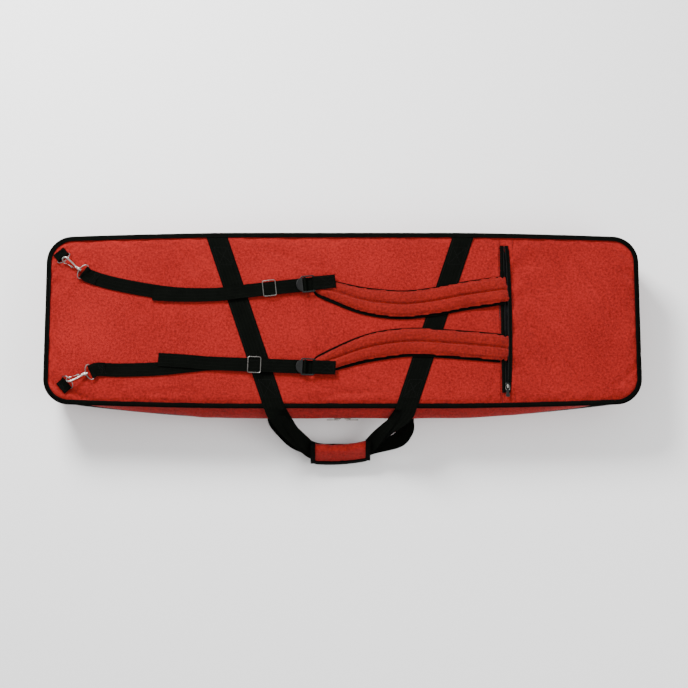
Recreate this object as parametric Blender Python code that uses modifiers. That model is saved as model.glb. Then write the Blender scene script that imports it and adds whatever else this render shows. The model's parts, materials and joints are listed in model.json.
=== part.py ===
"""A long padded equipment bag lying on its front face, back panel up, with stowable shoulder straps.

Metres, +Z up. X runs along the bag, -Y is the carrying-handle side, and the origin is the centre of
the footprint on the resting plane. The bag is two padded trays: the front shell lies on the plane, and
the back shell is the lid, joined along +Y by a fabric hinge and along the other sides by the main zip.
"""

from math import asin, atan2, cos, pi, radians, sin

import bmesh
import bpy
from mathutils import Matrix, Vector

# Driving dimensions
HALF_LENGTH = 0.700
HALF_WIDTH_MID = 0.210
HALF_WIDTH_END = 0.201
CORNER_RADIUS = 0.062
STRAIGHT_SHARE = 0.4
BINDING_WIDTH = 0.012
BINDING_HEIGHT = 0.0045
BACK_FACE_Z = 0.130
FRONT_FACE_Z = 0.0
FABRIC = 0.0016
FRONT_FABRIC = 0.0036
FOAM = 0.008
LINING = 0.001
GAP = 0.0003

# Side walls: they start under the binding and bulge out to the zip line at half height
WALL = 0.004
WALL_INSET = 0.011
PADDING_INSET = 0.0195
ZIP_Z = 0.065
ZIP_GAP = 0.001
WALL_GROWTH_X = 0.006
ZIP_SIDE_MID = 0.222
ZIP_SIDE_END = 0.190
HINGE_SIDE_MID = 0.213
HINGE_SIDE_END = 0.203
ZIP_TAPE_HEIGHT = 0.0125
ZIP_TAPE = 0.0012
ZIP_COIL_RADIUS = 0.0011

# Webbing
CARRY_WIDTH = 0.048
STRAP_WIDTH = 0.032
WEB = 0.0018
CARRY_TOP_X = (-0.296, 0.284)
CARRY_EDGE_X = (-0.158, 0.148)
CARRY_END_Y = -0.2113
CARRY_FAR_Y = HALF_WIDTH_MID - BINDING_WIDTH - 0.0042
CARRY_Z = BACK_FACE_Z + GAP
CARRY_NOTCH = {"back": (BACK_FACE_Z, BACK_FACE_Z + 0.003), "front": (-0.002, 0.0022)}

# Carrying handles
HANDLE_ROOT = (-0.2125, 0.131)
HANDLE_SLOPE = radians(46)
HANDLE_REACH = 0.134
GRIP_SIZE = (0.141, 0.056, 0.028)
GRIP_X = -0.005
FRONT_HANDLE_REACH = 0.094
FRONT_HANDLE_Z = 0.0005

# Pocket that the shoulder straps stow in
POCKET_X = 0.3742
POCKET_ZIP_X = 0.3852
POCKET_ZIP_Y = (-0.167, 0.172)
POCKET_TAPE = 0.0106
POCKET_DEPTH = 0.0042

# Shoulder straps
PAD_WIDTH = 0.071
PAD_Z = 0.1328
PAD_THICKNESS = 0.0105
STRAP_Z = 0.1344
LOOP_RADIUS = 0.0039
LOOP_HOLE = 0.0022
BUCKLE_X = -0.067
BUCKLE_Z = 0.1414
BUCKLE_BAR = 0.0028
BUCKLE_PITCH = 0.021
BUCKLE_LENGTH = 0.034
TAIL_TURN_X = BUCKLE_X - BUCKLE_PITCH

# Snap hooks and their rings at the corners
RING_Z = 0.1343
RING_DEPTH = 0.016
RING_BAR = 0.032
RING_WIRE = 0.0016
RING_TILT = radians(35)
HOOK_WIRE = 0.0018
HOOK_MOUTH = 0.0083
HOOK_LENGTH = 0.052
HOOK_LEAN = radians(45)
EYE_Z = 0.1383
EYE_DEPTH = 0.0135

# Each strap: its way along the panel, from the pocket to the corner
STRAPS = {
    "upper": {
        "pad": [
            (0.381, 0.071), (0.280, 0.056), (0.205, 0.042),
            (0.135, 0.036), (0.054, 0.045), (-0.052, 0.0765),
        ],
        "web": [
            (-0.540, 0.086),
            (-0.452, 0.069),
            (-0.380, 0.0605),
            (-0.300, 0.0596),
            (-0.235, 0.0665),
            (-0.150, 0.0759),
            (-0.078, 0.0838),
        ],
        "tail": [(-0.447, 0.0605), (-0.380, 0.0575), (-0.300, 0.0590), (-0.235, 0.0663), (-0.170, 0.0737)],
        "mouth": (-0.652, 0.1395),
        "hook_heading": radians(-33),
        "ring_heading": radians(-50),
        "slider_x": -0.172,
        "side": 1,
    },
    "lower": {
        "pad": [
            (0.381, -0.068), (0.247, -0.057), (0.173, -0.053),
            (0.114, -0.057), (0.053, -0.069), (-0.052, -0.1055),
        ],
        "web": [
            (-0.520, -0.1205),
            (-0.431, -0.1175),
            (-0.355, -0.1095),
            (-0.300, -0.1052),
            (-0.230, -0.1077),
            (-0.150, -0.1109),
            (-0.078, -0.1138),
        ],
        "tail": [
            (-0.431, -0.0955), (-0.370, -0.0995), (-0.315, -0.1040),
            (-0.270, -0.1062), (-0.200, -0.1090),
        ],
        "mouth": (-0.634, -0.143),
        "hook_heading": radians(21),
        "ring_heading": radians(41),
        "slider_x": -0.206,
        "side": -1,
    },
}


# Scene and materials


def clear_scene():
    for obj in list(bpy.data.objects):
        bpy.data.objects.remove(obj)


def collection(name):
    made = bpy.data.collections.new(name)
    bpy.context.scene.collection.children.link(made)
    return made


clear_scene()
BAG = collection("ski_bag")
CUTTERS = collection("cutters")
CUTTERS.hide_render = True


def material(name, colour, roughness, metallic=0.0):
    made = bpy.data.materials.new(name)
    made.use_nodes = True
    shader = made.node_tree.nodes["Principled BSDF"]
    shader.inputs["Base Color"].default_value = (*colour, 1.0)
    shader.inputs["Roughness"].default_value = roughness
    shader.inputs["Metallic"].default_value = metallic
    return made


RED = material("red_fabric", (0.50, 0.035, 0.022), 0.85)
BLACK = material("black_webbing", (0.008, 0.010, 0.008), 0.8)
FOAM_GREY = material("foam", (0.10, 0.10, 0.10), 0.95)
LINING_BLACK = material("lining", (0.02, 0.02, 0.022), 0.7)
STEEL = material("nickel_steel", (0.62, 0.60, 0.57), 0.25, 1.0)
PLASTIC = material("black_plastic", (0.012, 0.012, 0.013), 0.4)


# Building blocks


def add(name, data, finish, where=BAG):
    obj = bpy.data.objects.new(name, data)
    where.objects.link(obj)
    data.materials.append(finish)
    return obj


def plate(name, loops, low, high, finish, where=BAG):
    """A flat piece between two heights. The first loop is its outline, and any others are holes."""
    curve = bpy.data.curves.new(name, "CURVE")
    curve.dimensions = "2D"
    curve.fill_mode = "BOTH"
    curve.extrude = (high - low) / 2
    for loop in loops:
        spline = curve.splines.new("POLY")
        spline.points.add(len(loop) - 1)
        for point, (x, y) in zip(spline.points, loop):
            point.co = (x, y, 0, 1)
        spline.use_cyclic_u = True
    obj = add(name, curve, finish, where)
    obj.location.z = (low + high) / 2
    return obj


def at_height(points, z):
    return [(x, y, z) for x, y in points]


def skin(name, rings, finish, closed=True, wrap=False, caps=False):
    """Faces through rings of points: wrap joins the last ring to the first, and caps fills the end rings."""
    count = len(rings[0])
    points = [p for ring in rings for p in ring]
    faces = []
    for level in range(len(rings) if wrap else len(rings) - 1):
        next_level = (level + 1) % len(rings)
        for i in range(count if closed else count - 1):
            j = (i + 1) % count
            low, high = level * count, next_level * count
            faces.append((low + i, low + j, high + j, high + i))
    if caps:
        faces.append(tuple(reversed(range(count))))
        faces.append(tuple(range(len(points) - count, len(points))))
    mesh = bpy.data.meshes.new(name)
    mesh.from_pydata(points, [], faces)
    return add(name, mesh, finish)


def slab(name, loop, low, high, finish):
    """A solid slab with the outline of a counterclockwise loop."""
    return skin(name, [at_height(loop, low), at_height(loop, high)], finish, caps=True)


def frame(name, outer, inner, low, high, finish):
    """A slab with a hole, from two loops with as many points as each other."""
    rings = [at_height(outer, low), at_height(outer, high), at_height(inner, high), at_height(inner, low)]
    return skin(name, rings, finish, wrap=True)


def loft(name, rings, thickness, finish, closed=True):
    """A shell through rings of points, thickened towards the inside of the bag."""
    obj = skin(name, rings, finish, closed)
    solid = obj.modifiers.new("thickness", "SOLIDIFY")
    solid.thickness = thickness
    solid.offset = 1
    solid.use_even_offset = True
    return obj


def smooth_path(points, steps=5):
    """Points along a Catmull-Rom curve through the given ones."""
    path = [Vector(p) for p in points]
    ends = [2 * path[0] - path[1]] + path + [2 * path[-1] - path[-2]]
    made = []
    for a, b, c, d in zip(ends, ends[1:], ends[2:], ends[3:]):
        for i in range(steps):
            t = i / steps
            made.append(
                0.5 * (2 * b + (c - a) * t)
                + 0.5 * ((2 * a - 5 * b + 4 * c - d) * t**2 + (3 * b - a - 3 * c + d) * t**3)
            )
    return made + [path[-1]]


def ribbon(name, path, width, thickness, low, finish):
    """A flat band along a level path, as wide as width or as a list of widths along it."""
    curve = bpy.data.curves.new(name, "CURVE")
    curve.dimensions = "3D"
    curve.twist_mode = "Z_UP"
    widths = width if isinstance(width, list) else [width] * len(path)
    curve.extrude = max(widths) / 2
    spline = curve.splines.new("POLY")
    spline.points.add(len(path) - 1)
    for point, (x, y), w in zip(spline.points, path, widths):
        point.co = (x, y, 0, 1)
        point.tilt = pi / 2
        point.radius = w / max(widths)
    obj = add(name, curve, finish)
    obj.location.z = low + thickness / 2
    solid = obj.modifiers.new("thickness", "SOLIDIFY")
    solid.thickness = thickness
    solid.offset = 0
    return obj


def tube(name, points, radius, finish, cyclic=False):
    curve = bpy.data.curves.new(name, "CURVE")
    curve.dimensions = "3D"
    curve.bevel_depth = radius
    curve.bevel_resolution = 1
    curve.use_fill_caps = True
    spline = curve.splines.new("POLY")
    spline.points.add(len(points) - 1)
    for point, co in zip(spline.points, points):
        point.co = (*co, 1)
    spline.use_cyclic_u = cyclic
    return add(name, curve, finish)


def move_to_collection(obj, where):
    for owner in list(obj.users_collection):
        owner.objects.unlink(obj)
    where.objects.link(obj)


def box(name, size, centre, finish, turn=None, where=BAG):
    bpy.ops.mesh.primitive_cube_add(size=1)
    obj = bpy.context.object
    obj.name = name
    obj.data.transform(Matrix.Diagonal((*size, 1)))
    obj.matrix_world = Matrix.Translation(centre) @ (turn or Matrix.Identity(4))
    obj.data.materials.append(finish)
    move_to_collection(obj, where)
    return obj


def rod(name, radius, start, end, finish, sides=12, where=BAG):
    start, end = Vector(start), Vector(end)
    bpy.ops.mesh.primitive_cylinder_add(radius=radius, depth=(end - start).length, vertices=sides)
    obj = bpy.context.object
    obj.name = name
    turn = (end - start).to_track_quat("Z", "Y").to_matrix().to_4x4()
    obj.matrix_world = Matrix.Translation((start + end) / 2) @ turn
    obj.data.materials.append(finish)
    move_to_collection(obj, where)
    return obj


def as_mesh(obj):
    """The curve object made a mesh with its caps welded, so that it can take a Boolean."""
    if obj.type == "MESH":
        return obj
    bpy.context.view_layer.update()
    graph = bpy.context.evaluated_depsgraph_get()
    mesh = bpy.data.meshes.new_from_object(obj.evaluated_get(graph))
    welded = bmesh.new()
    welded.from_mesh(mesh)
    bmesh.ops.remove_doubles(welded, verts=welded.verts, dist=0.00001)
    welded.to_mesh(mesh)
    welded.free()
    made = bpy.data.objects.new(obj.name + "_mesh", mesh)
    made.matrix_world = obj.matrix_world
    name, owner = obj.name, obj.users_collection[0]
    bpy.data.objects.remove(obj)
    owner.objects.link(made)
    made.name = name
    return made


def cut(target, cutter):
    target, cutter = as_mesh(target), as_mesh(cutter)
    move_to_collection(cutter, CUTTERS)
    cutter.display_type = "WIRE"
    cutter.hide_render = True
    step = target.modifiers.new("cut", "BOOLEAN")
    step.operation = "DIFFERENCE"
    step.object = cutter
    return target


def join(target, *others):
    target = as_mesh(target)
    for other in others:
        other = as_mesh(other)
        move_to_collection(other, CUTTERS)
        other.display_type = "WIRE"
        other.hide_render = True
        step = target.modifiers.new("join", "BOOLEAN")
        step.operation = "UNION"
        step.object = other
    return target


def round_edges(obj, width, segments=2):
    bevel = obj.modifiers.new("round", "BEVEL")
    bevel.width = width
    bevel.segments = segments
    bevel.limit_method = "ANGLE"
    return obj


# Outlines


def half_width(x, mid, end, reach):
    """The bowed long side: straight and widest along the middle, and end at the corners."""
    beyond = max(0.0, abs(x) / reach - STRAIGHT_SHARE) / (1 - STRAIGHT_SHARE)
    return mid - (mid - end) * min(1.0, beyond) ** 1.5


def outline(half_length, near, far, radius=CORNER_RADIUS, sides=10, turns=5):
    """Counterclockwise points from the +Y right-hand corner; far (+Y) and near (-Y) are each (mid, end)."""
    reach = half_length - radius
    points = []

    def corner(sign_x, sign_y, end):
        start = atan2(sign_y - (sign_x == sign_y) * sign_y, sign_x - (sign_x != sign_y) * sign_x)
        for i in range(turns + 1):
            a = start + i / turns * pi / 2
            points.append((sign_x * reach + radius * cos(a), sign_y * (end - radius) + radius * sin(a)))

    def long_side(sign_y, mid, end):
        for i in range(1, sides):
            x = sign_y * reach * (1 - 2 * i / sides)
            points.append((x, sign_y * half_width(x, mid, end, reach)))

    corner(1, 1, far[1])
    long_side(1, *far)
    corner(-1, 1, far[1])
    corner(-1, -1, near[1])
    long_side(-1, *near)
    corner(1, -1, near[1])
    return points


def inset(amount):
    mid, end = HALF_WIDTH_MID - amount, HALF_WIDTH_END - amount
    return outline(HALF_LENGTH - amount, (mid, end), (mid, end), CORNER_RADIUS - amount * 0.7)


def wall_outline(bulge, outward=0.0):
    """The wall's outer face: bulge 0 is its seam under the binding, and 1 is the zip line."""

    def between(seam, zip_line):
        return seam + (zip_line - seam) * bulge + outward

    seam_mid, seam_end = HALF_WIDTH_MID - WALL_INSET, HALF_WIDTH_END - WALL_INSET
    near = between(seam_mid, ZIP_SIDE_MID), between(seam_end, ZIP_SIDE_END)
    far = between(seam_mid, HINGE_SIDE_MID), between(seam_end, HINGE_SIDE_END)
    return outline(HALF_LENGTH - WALL_INSET + WALL_GROWTH_X * bulge + outward, near, far)


# The two padded trays


def shell(side, z_of):
    """One tray: panel lining and foam, wall, binding, and its half of the main zip."""
    deep = {"back": BACK_FACE_Z, "front": FRONT_FACE_Z}[side]

    def layer(name, amount, start, thickness, finish):
        low, high = sorted((z_of(deep, start), z_of(deep, start + thickness)))
        return slab(f"{side}_{name}", inset(amount), low, high, finish)

    foam_start = (FABRIC if side == "back" else FRONT_FABRIC) + GAP
    lining_start = foam_start + FOAM + GAP
    foam = layer("foam", PADDING_INSET, foam_start, FOAM, FOAM_GREY)
    layer("lining", PADDING_INSET, lining_start, LINING, LINING_BLACK)

    outer = {"back": BACK_FACE_Z + 0.001, "front": 0.0}[side]
    low, high = sorted((outer, z_of(outer, BINDING_HEIGHT)))
    binding = frame(f"{side}_binding", inset(0), inset(BINDING_WIDTH), low, high, BLACK)
    for top_x, edge_x in zip(CARRY_TOP_X, CARRY_EDGE_X):
        corners = carry_corners(top_x, edge_x, GAP, -HALF_WIDTH_MID - 0.005, -0.150)
        binding = cut(binding, plate("notch", [corners], *CARRY_NOTCH[side], BLACK))

    seam_z = z_of(outer, BINDING_HEIGHT + GAP)
    rim_z = ZIP_Z + (ZIP_GAP if side == "back" else -ZIP_GAP)
    profile = [(0.0, 0.0), (0.55, 0.22), (0.9, 0.5), (1.0, 0.75), (1.0, 1.0)]
    rings = [at_height(wall_outline(bulge), seam_z + (rim_z - seam_z) * share) for bulge, share in profile]
    if side == "back":
        rings.reverse()
    loft(f"{side}_wall", rings, -WALL, RED)
    return foam


def zip_half(side):
    """The tape and the coil along the ends and the -Y side, from one end of the hinge to the other."""
    up = 1 if side == "back" else -1
    line = wall_outline(1.0, outward=GAP)
    start = next(i for i, (x, y) in enumerate(line) if x < -HALF_LENGTH + CORNER_RADIUS * 0.4)
    run = line[start:] + line[:1]
    near_z = ZIP_Z + up * GAP * 1.5
    far_z = near_z + up * ZIP_TAPE_HEIGHT
    low, high = sorted((near_z, far_z))
    loft(f"{side}_zip_tape", [at_height(run, low), at_height(run, high)], ZIP_TAPE, BLACK, closed=False)
    coil_line = wall_outline(1.0, outward=2 * GAP + ZIP_TAPE + ZIP_COIL_RADIUS)
    coil = at_height(coil_line[start:] + coil_line[:1], near_z + up * ZIP_COIL_RADIUS)
    tube(f"{side}_zip_coil", coil, ZIP_COIL_RADIUS, BLACK)


def hinge_tape():
    """The reinforcing tape along the fabric hinge, on the front shell's side of the fold."""
    line = wall_outline(1.0, outward=GAP)
    run = [p for p in line if p[1] > 0.1 and abs(p[0]) < HALF_LENGTH - CORNER_RADIUS + 0.001]
    low, high = ZIP_Z - GAP - ZIP_TAPE_HEIGHT, ZIP_Z - GAP
    loft("hinge_tape", [at_height(run, low), at_height(run, high)], ZIP_TAPE, BLACK, closed=False)


def front_panel():
    """The front panel, with a groove for each carry webbing, which the bag's weight presses flush."""
    edge = inset(BINDING_WIDTH + GAP)
    panel = slab("front_panel", edge, FRONT_FACE_Z, FRONT_FACE_Z + FRONT_FABRIC, RED)
    for top_x, edge_x in zip(CARRY_TOP_X, CARRY_EDGE_X):
        corners = carry_corners(top_x, edge_x, GAP, -HALF_WIDTH_MID, CARRY_FAR_Y + GAP)
        panel = cut(panel, plate("groove", [corners], *CARRY_NOTCH["front"], BLACK))


def back_panels(foam):
    """The back panel, cut at the pocket's mouth, and the pocket panel beyond it."""
    edge = inset(BINDING_WIDTH + GAP)
    low, high = BACK_FACE_Z - FABRIC, BACK_FACE_Z
    left = [p for p in edge if p[0] < POCKET_X - 0.02]
    mouth_x = POCKET_X - GAP
    reach = HALF_LENGTH - CORNER_RADIUS
    mouth_y = half_width(mouth_x, HALF_WIDTH_MID, HALF_WIDTH_END, reach) - BINDING_WIDTH - GAP
    slab("back_panel", left + [(mouth_x, -mouth_y), (mouth_x, mouth_y)], low, high, RED)

    right = [p for p in edge if p[0] > POCKET_X + 0.02]
    upper = [p for p in right if p[1] > 0]
    lower = [p for p in right if p[1] < 0]
    bottom, top = POCKET_ZIP_Y
    zip_right = POCKET_ZIP_X + GAP + POCKET_TAPE + GAP
    above, below = top + GAP, bottom - GAP
    notch = [(POCKET_X, above), (zip_right, above), (zip_right, below), (POCKET_X, below)]
    start = [(POCKET_X, mouth_y)]
    end = [(POCKET_X, -mouth_y)]
    slab("pocket_panel", upper + start + notch + end + lower, low, high, RED)
    cavity_x = (POCKET_ZIP_X - 0.004, HALF_LENGTH - 0.022)
    cavity = box(
        "pocket_cavity",
        (cavity_x[1] - cavity_x[0], top - bottom - 0.006, 2 * POCKET_DEPTH),
        ((cavity_x[0] + cavity_x[1]) / 2, (top + bottom) / 2, BACK_FACE_Z - FABRIC - GAP),
        FOAM_GREY,
    )
    cut(foam, cavity)


def pocket_zip():
    bottom, top = POCKET_ZIP_Y
    low, high = BACK_FACE_Z - 0.0013, BACK_FACE_Z - 0.0001
    for name, left in (("left", POCKET_X + GAP), ("right", POCKET_ZIP_X + GAP)):
        right = POCKET_ZIP_X - GAP if name == "left" else left + POCKET_TAPE
        loop = [(left, bottom), (right, bottom), (right, top), (left, top)]
        tape = plate(f"pocket_zip_tape_{name}", [loop], low, high, BLACK)
        coil_x = right - 0.0014 if name == "left" else left + 0.0014
        coil_size = (0.002, top - bottom - 0.004, 0.002)
        rail = box("coil", coil_size, (coil_x, (top + bottom) / 2, high + 0.0005), BLACK)
        join(tape, rail)


def zip_slider(name, centre, along, up, length=0.016, width=0.011, height=0.0044):
    """A slider body with a bridge on top, and its pull, lying back along the zip and free to flip over."""
    across = up.cross(along)
    turn = Matrix((along, across, up)).transposed().to_4x4()
    centre = Vector(centre)
    body = box(f"{name}_slider", (length, width, height * 0.5), centre + up * height * 0.25, STEEL, turn)
    bridge_x = length * 0.22
    post_height = height * 0.62
    for i, offset in enumerate((-bridge_x, bridge_x)):
        foot = centre + along * offset + up * (height * 0.4 + post_height / 2)
        body = join(body, box(f"post_{i}", (0.0016, 0.0034, post_height + 0.0004), foot, STEEL, turn))
    beam = centre + up * (height * 0.4 + post_height)
    body = join(body, box("beam", (2 * bridge_x + 0.0016, 0.0034, 0.0012), beam, STEEL, turn))
    axis = centre + up * (height * 0.5 + 0.00085)
    pin = rod(f"{name}_pull", 0.0006, axis - across * 0.005, axis + across * 0.005, STEEL, sides=8)
    for side in (-1, 1):
        arm_place = axis + across * side * 0.0044 + along * 0.0038
        arm = box("arm", (0.0085, 0.0016, 0.0011), arm_place, STEEL, turn)
        pin = join(pin, arm)
    tab = box("tab", (0.018, 0.0104, 0.0015), axis + along * 0.0165, STEEL, turn)
    join(pin, tab)
    return axis


# Webbing sewn to the bag


def carry_corners(top_x, edge_x, wider, near_y, far_y):
    """A carry webbing's corners between two distances across the bag, on its slanting line."""
    lean = (top_x - edge_x) / (CARRY_FAR_Y - CARRY_END_Y)
    half = (CARRY_WIDTH / 2 + wider) / cos(atan2(lean, 1))
    near_x = edge_x + lean * (near_y - CARRY_END_Y)
    far_x = edge_x + lean * (far_y - CARRY_END_Y)
    return [(near_x + half, near_y), (far_x + half, far_y), (far_x - half, far_y), (near_x - half, near_y)]


def carry_webs():
    """Webbing that runs down each face and over the binding to the handle's root."""
    for side in ("back", "front"):
        low = CARRY_Z if side == "back" else GAP
        for hand, top_x, edge_x in zip(("left", "right"), CARRY_TOP_X, CARRY_EDGE_X):
            corners = carry_corners(top_x, edge_x, 0, CARRY_END_Y, CARRY_FAR_Y)
            plate(f"{side}_carry_web_{hand}", [corners], low, low + WEB * 0.9, BLACK)


def slope_point(u, s):
    """A point of the back handle's plane: u along X, s down the slope from the root."""
    return (u, HANDLE_ROOT[0] - s * cos(HANDLE_SLOPE), HANDLE_ROOT[1] - s * sin(HANDLE_SLOPE))


def handle_outline(reach, spread):
    """The flat U of a handle's webbing: two legs that converge on a level run through the grip."""
    half = CARRY_WIDTH / 2
    grip_half = GRIP_SIZE[0] / 2
    left, right = CARRY_EDGE_X
    left_in, right_in = GRIP_X - grip_half, GRIP_X + grip_half
    return [
        (left - half, 0),
        (left - half + 0.010, reach * 0.30),
        (left - half + 0.034 - spread, reach * 0.72),
        (left_in - 0.010, reach + half),
        (right_in + 0.010, reach + half),
        (right + half - 0.034 + spread, reach * 0.72),
        (right + half - 0.010, reach * 0.30),
        (right + half, 0),
        (right - half, 0),
        (right_in + 0.006, reach - half),
        (left_in - 0.006, reach - half),
        (left + half, 0),
    ]


def handles():
    slope = Matrix.Rotation(HANDLE_SLOPE, 4, "X")
    root = Matrix.Translation((0, *HANDLE_ROOT))
    flat = [(u, -s) for u, s in handle_outline(HANDLE_REACH, 0.0)]
    web = plate("back_handle_web", [flat], -WEB / 2, WEB / 2, BLACK)
    web.matrix_world = root @ slope

    centre = slope_point(GRIP_X, HANDLE_REACH)
    grip = round_edges(box("handle_grip", GRIP_SIZE, centre, RED, slope), 0.010, 3)
    slot_size = (GRIP_SIZE[0] * 1.2, CARRY_WIDTH + 2 * GAP, WEB + 2 * GAP)
    cut(grip, box("grip_slot", slot_size, centre, RED, slope))

    front = [(u, -s) for u, s in handle_outline(FRONT_HANDLE_REACH, 0.016)]
    loop = plate("front_handle_web", [front], FRONT_HANDLE_Z, FRONT_HANDLE_Z + WEB, BLACK)
    loop.location.y = HANDLE_ROOT[0]


# Folded webbing and hardware of the shoulder straps


def heading_vector(angle):
    return Vector((cos(angle), sin(angle), 0))


def folded_web(name, bar, strip_heading, strip, width, finish, on_top=False):
    """Webbing folded round a bar and sewn back on itself: a round loop with a flat strip that leaves it."""
    flip = -1 if on_top else 1
    turns = 14
    sweep = [-pi / 2 - (3 * pi / 2 + asin(1 - WEB / LOOP_RADIUS)) * i / turns for i in range(turns + 1)]
    ring = [(LOOP_RADIUS * cos(a), flip * LOOP_RADIUS * sin(a)) for a in sweep]
    ends = [(strip, flip * (WEB - LOOP_RADIUS)), (strip, -flip * LOOP_RADIUS)]
    hole = [(LOOP_HOLE * cos(2 * pi * i / 12), LOOP_HOLE * sin(2 * pi * i / 12)) for i in range(12)]
    obj = plate(name, [ring + ends, hole], -width / 2, width / 2, finish)
    along = heading_vector(strip_heading)
    up = Vector((0, 0, 1))
    obj.matrix_world = Matrix.Translation(bar) @ Matrix((along, up, along.cross(up))).transposed().to_4x4()
    return obj


def ring_frame(strap):
    """The corner ring: the centre of its bar, the way it points, and the way its bar runs."""
    point = heading_vector(strap["ring_heading"])
    mouth = Vector((*strap["mouth"], 0))
    bar = mouth - point * RING_DEPTH * cos(RING_TILT)
    bar.z = RING_Z
    return bar, point, point.cross(Vector((0, 0, 1)))


def d_loop(bar, forward, across, half_bar, depth, wire, name, finish, turns=8):
    """A D of round wire: a straight bar, and an arch of the given depth."""
    straight = 0.25
    points = [bar - across * half_bar, bar + across * half_bar]
    for i in range(turns + 1):
        a = pi * i / turns
        rise = depth * (straight + (1 - straight) * sin(a))
        points.append(bar + across * half_bar * cos(a) + forward * rise)
    return tube(name, points, wire, finish, cyclic=True)


def corner_ring(tag, strap):
    bar, point, across = ring_frame(strap)
    away = strap["ring_heading"] + pi
    folded_web(f"corner_tab_{tag}", bar, away, 0.016, RING_BAR - 0.002, BLACK)
    rising = point * cos(RING_TILT) + Vector((0, 0, sin(RING_TILT)))
    d_loop(bar, rising, across, RING_BAR / 2 + RING_WIRE, RING_DEPTH, RING_WIRE, f"d_ring_{tag}", STEEL)


def hook_frame(strap):
    """The hook's own axes: its mouth, the way to the strap, and the way across its flat side to the gate."""
    level = heading_vector(strap["hook_heading"])
    mouth_z = RING_Z + RING_DEPTH * sin(RING_TILT)
    slope = asin((mouth_z - EYE_Z) / HOOK_LENGTH)
    along = level * cos(slope) - Vector((0, 0, sin(slope)))
    mouth = Vector((*strap["mouth"], mouth_z))
    side = along.cross(Vector((0, 0, 1))).normalized() * strap["side"]
    upright = along.cross(side) * strap["side"]
    gate_way = side * sin(HOOK_LEAN) + (upright if upright.z < 0 else -upright) * cos(HOOK_LEAN)
    return mouth, along, gate_way.normalized()


def snap_hook(tag, strap):
    mouth, along, across = hook_frame(strap)

    def at(a, b):
        return mouth + along * a + across * b

    turns = (radians(52 + 218 / 9 * i) for i in range(10))
    curl = [at(HOOK_MOUTH * cos(t), HOOK_MOUTH * sin(t)) for t in turns]
    shank = [at(0.019, -HOOK_MOUTH), at(0.026, -0.0045), at(0.029, 0), at(0.031, 0)]
    body = tube(f"snap_hook_{tag}", curl + shank, HOOK_WIRE, STEEL)
    barrel = rod("barrel", 0.0036, at(0.0265, 0), at(0.0325, 0), STEEL)
    post = rod("post", 0.0019, at(0.030, 0), at(0.0415, 0), STEEL)
    head = rod("head", 0.0031, at(0.0406, 0), at(0.0428, 0), STEEL)
    lug = box("lug", (0.006, 0.0026, 0.0024), at(0.0255, 0.0020), STEEL, axes(along, across))
    join(body, barrel, post, head, lug)

    pivot, tip = gate_ends(strap)
    start, end = pivot + (tip - pivot) * 0.07, tip
    gate = rod(f"hook_gate_{tag}", 0.0014, start, end, STEEL, sides=10)
    middle = (start + end) / 2
    knob = box("thumb_knob", (0.0045, 0.0030, 0.0028), middle + across * 0.0016, STEEL, axes(along, across))
    join(gate, knob)


def axes(along, across):
    return Matrix((along, across, along.cross(across))).transposed().to_4x4()


def gate_ends(strap):
    """The gate's pivot by the barrel, and its tip, just inside the hook's nose."""
    mouth, along, across = hook_frame(strap)
    pivot = mouth + along * 0.0255 + across * 0.0052
    tip = mouth + along * 0.0080 + across * 0.0070
    return pivot, tip


def swivel_eye(tag, strap):
    """The D that holds the strap's webbing, with a boss that the hook's post turns in."""
    mouth, along, _ = hook_frame(strap)
    across = along.cross(Vector((0, 0, 1))).normalized()
    bar = mouth + along * HOOK_LENGTH
    half = STRAP_WIDTH / 2 + 0.003
    eye = d_loop(bar, -along, across, half, EYE_DEPTH, RING_WIRE, f"swivel_eye_{tag}", STEEL)
    boss = rod("boss", 0.0042, mouth + along * 0.0330, mouth + along * 0.0398, STEEL)
    eye = join(eye, boss)
    bore = rod("bore", 0.0022, mouth + along * 0.030, mouth + along * 0.0455, STEEL)
    return cut(eye, bore)


def strap_webbing(tag, strap):
    """The main run, folded round the eye's bar, and the tail that hangs back from the buckle over it."""
    mouth, along, _ = hook_frame(strap)
    bar = mouth + along * HOOK_LENGTH
    level = heading_vector(strap["hook_heading"])
    start = bar + level * 0.011
    run = smooth_path([(start.x, start.y)] + strap["web"])
    fold = folded_web(f"strap_web_{tag}", bar, strap["hook_heading"], 0.022, STRAP_WIDTH, BLACK)
    join(fold, ribbon("run", run, STRAP_WIDTH - 0.0004, WEB - 0.0002, STRAP_Z + 0.0001, BLACK))

    turn = Vector((TAIL_TURN_X, buckle_y(strap), BUCKLE_Z))
    heading = buckle_heading(strap) + pi
    leave = turn + heading_vector(heading) * 0.012
    path = smooth_path(strap["tail"] + [(leave.x, leave.y)])
    low = BUCKLE_Z - LOOP_RADIUS
    tail = folded_web(f"strap_tail_{tag}", turn, heading, 0.022, STRAP_WIDTH, BLACK)
    join(tail, ribbon("tail", path, STRAP_WIDTH - 0.0004, WEB - 0.0002, low + 0.0001, BLACK))


def buckle_y(strap):
    """Where the strap's last straight stretch crosses the buckle."""
    (x0, y0), (x1, y1) = strap["web"][-2:]
    return y0 + (y1 - y0) * (TAIL_TURN_X - x0) / (x1 - x0)


def buckle_heading(strap):
    (x0, y0), (x1, y1) = strap["web"][-2:]
    return atan2(y1 - y0, x1 - x0)


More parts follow.
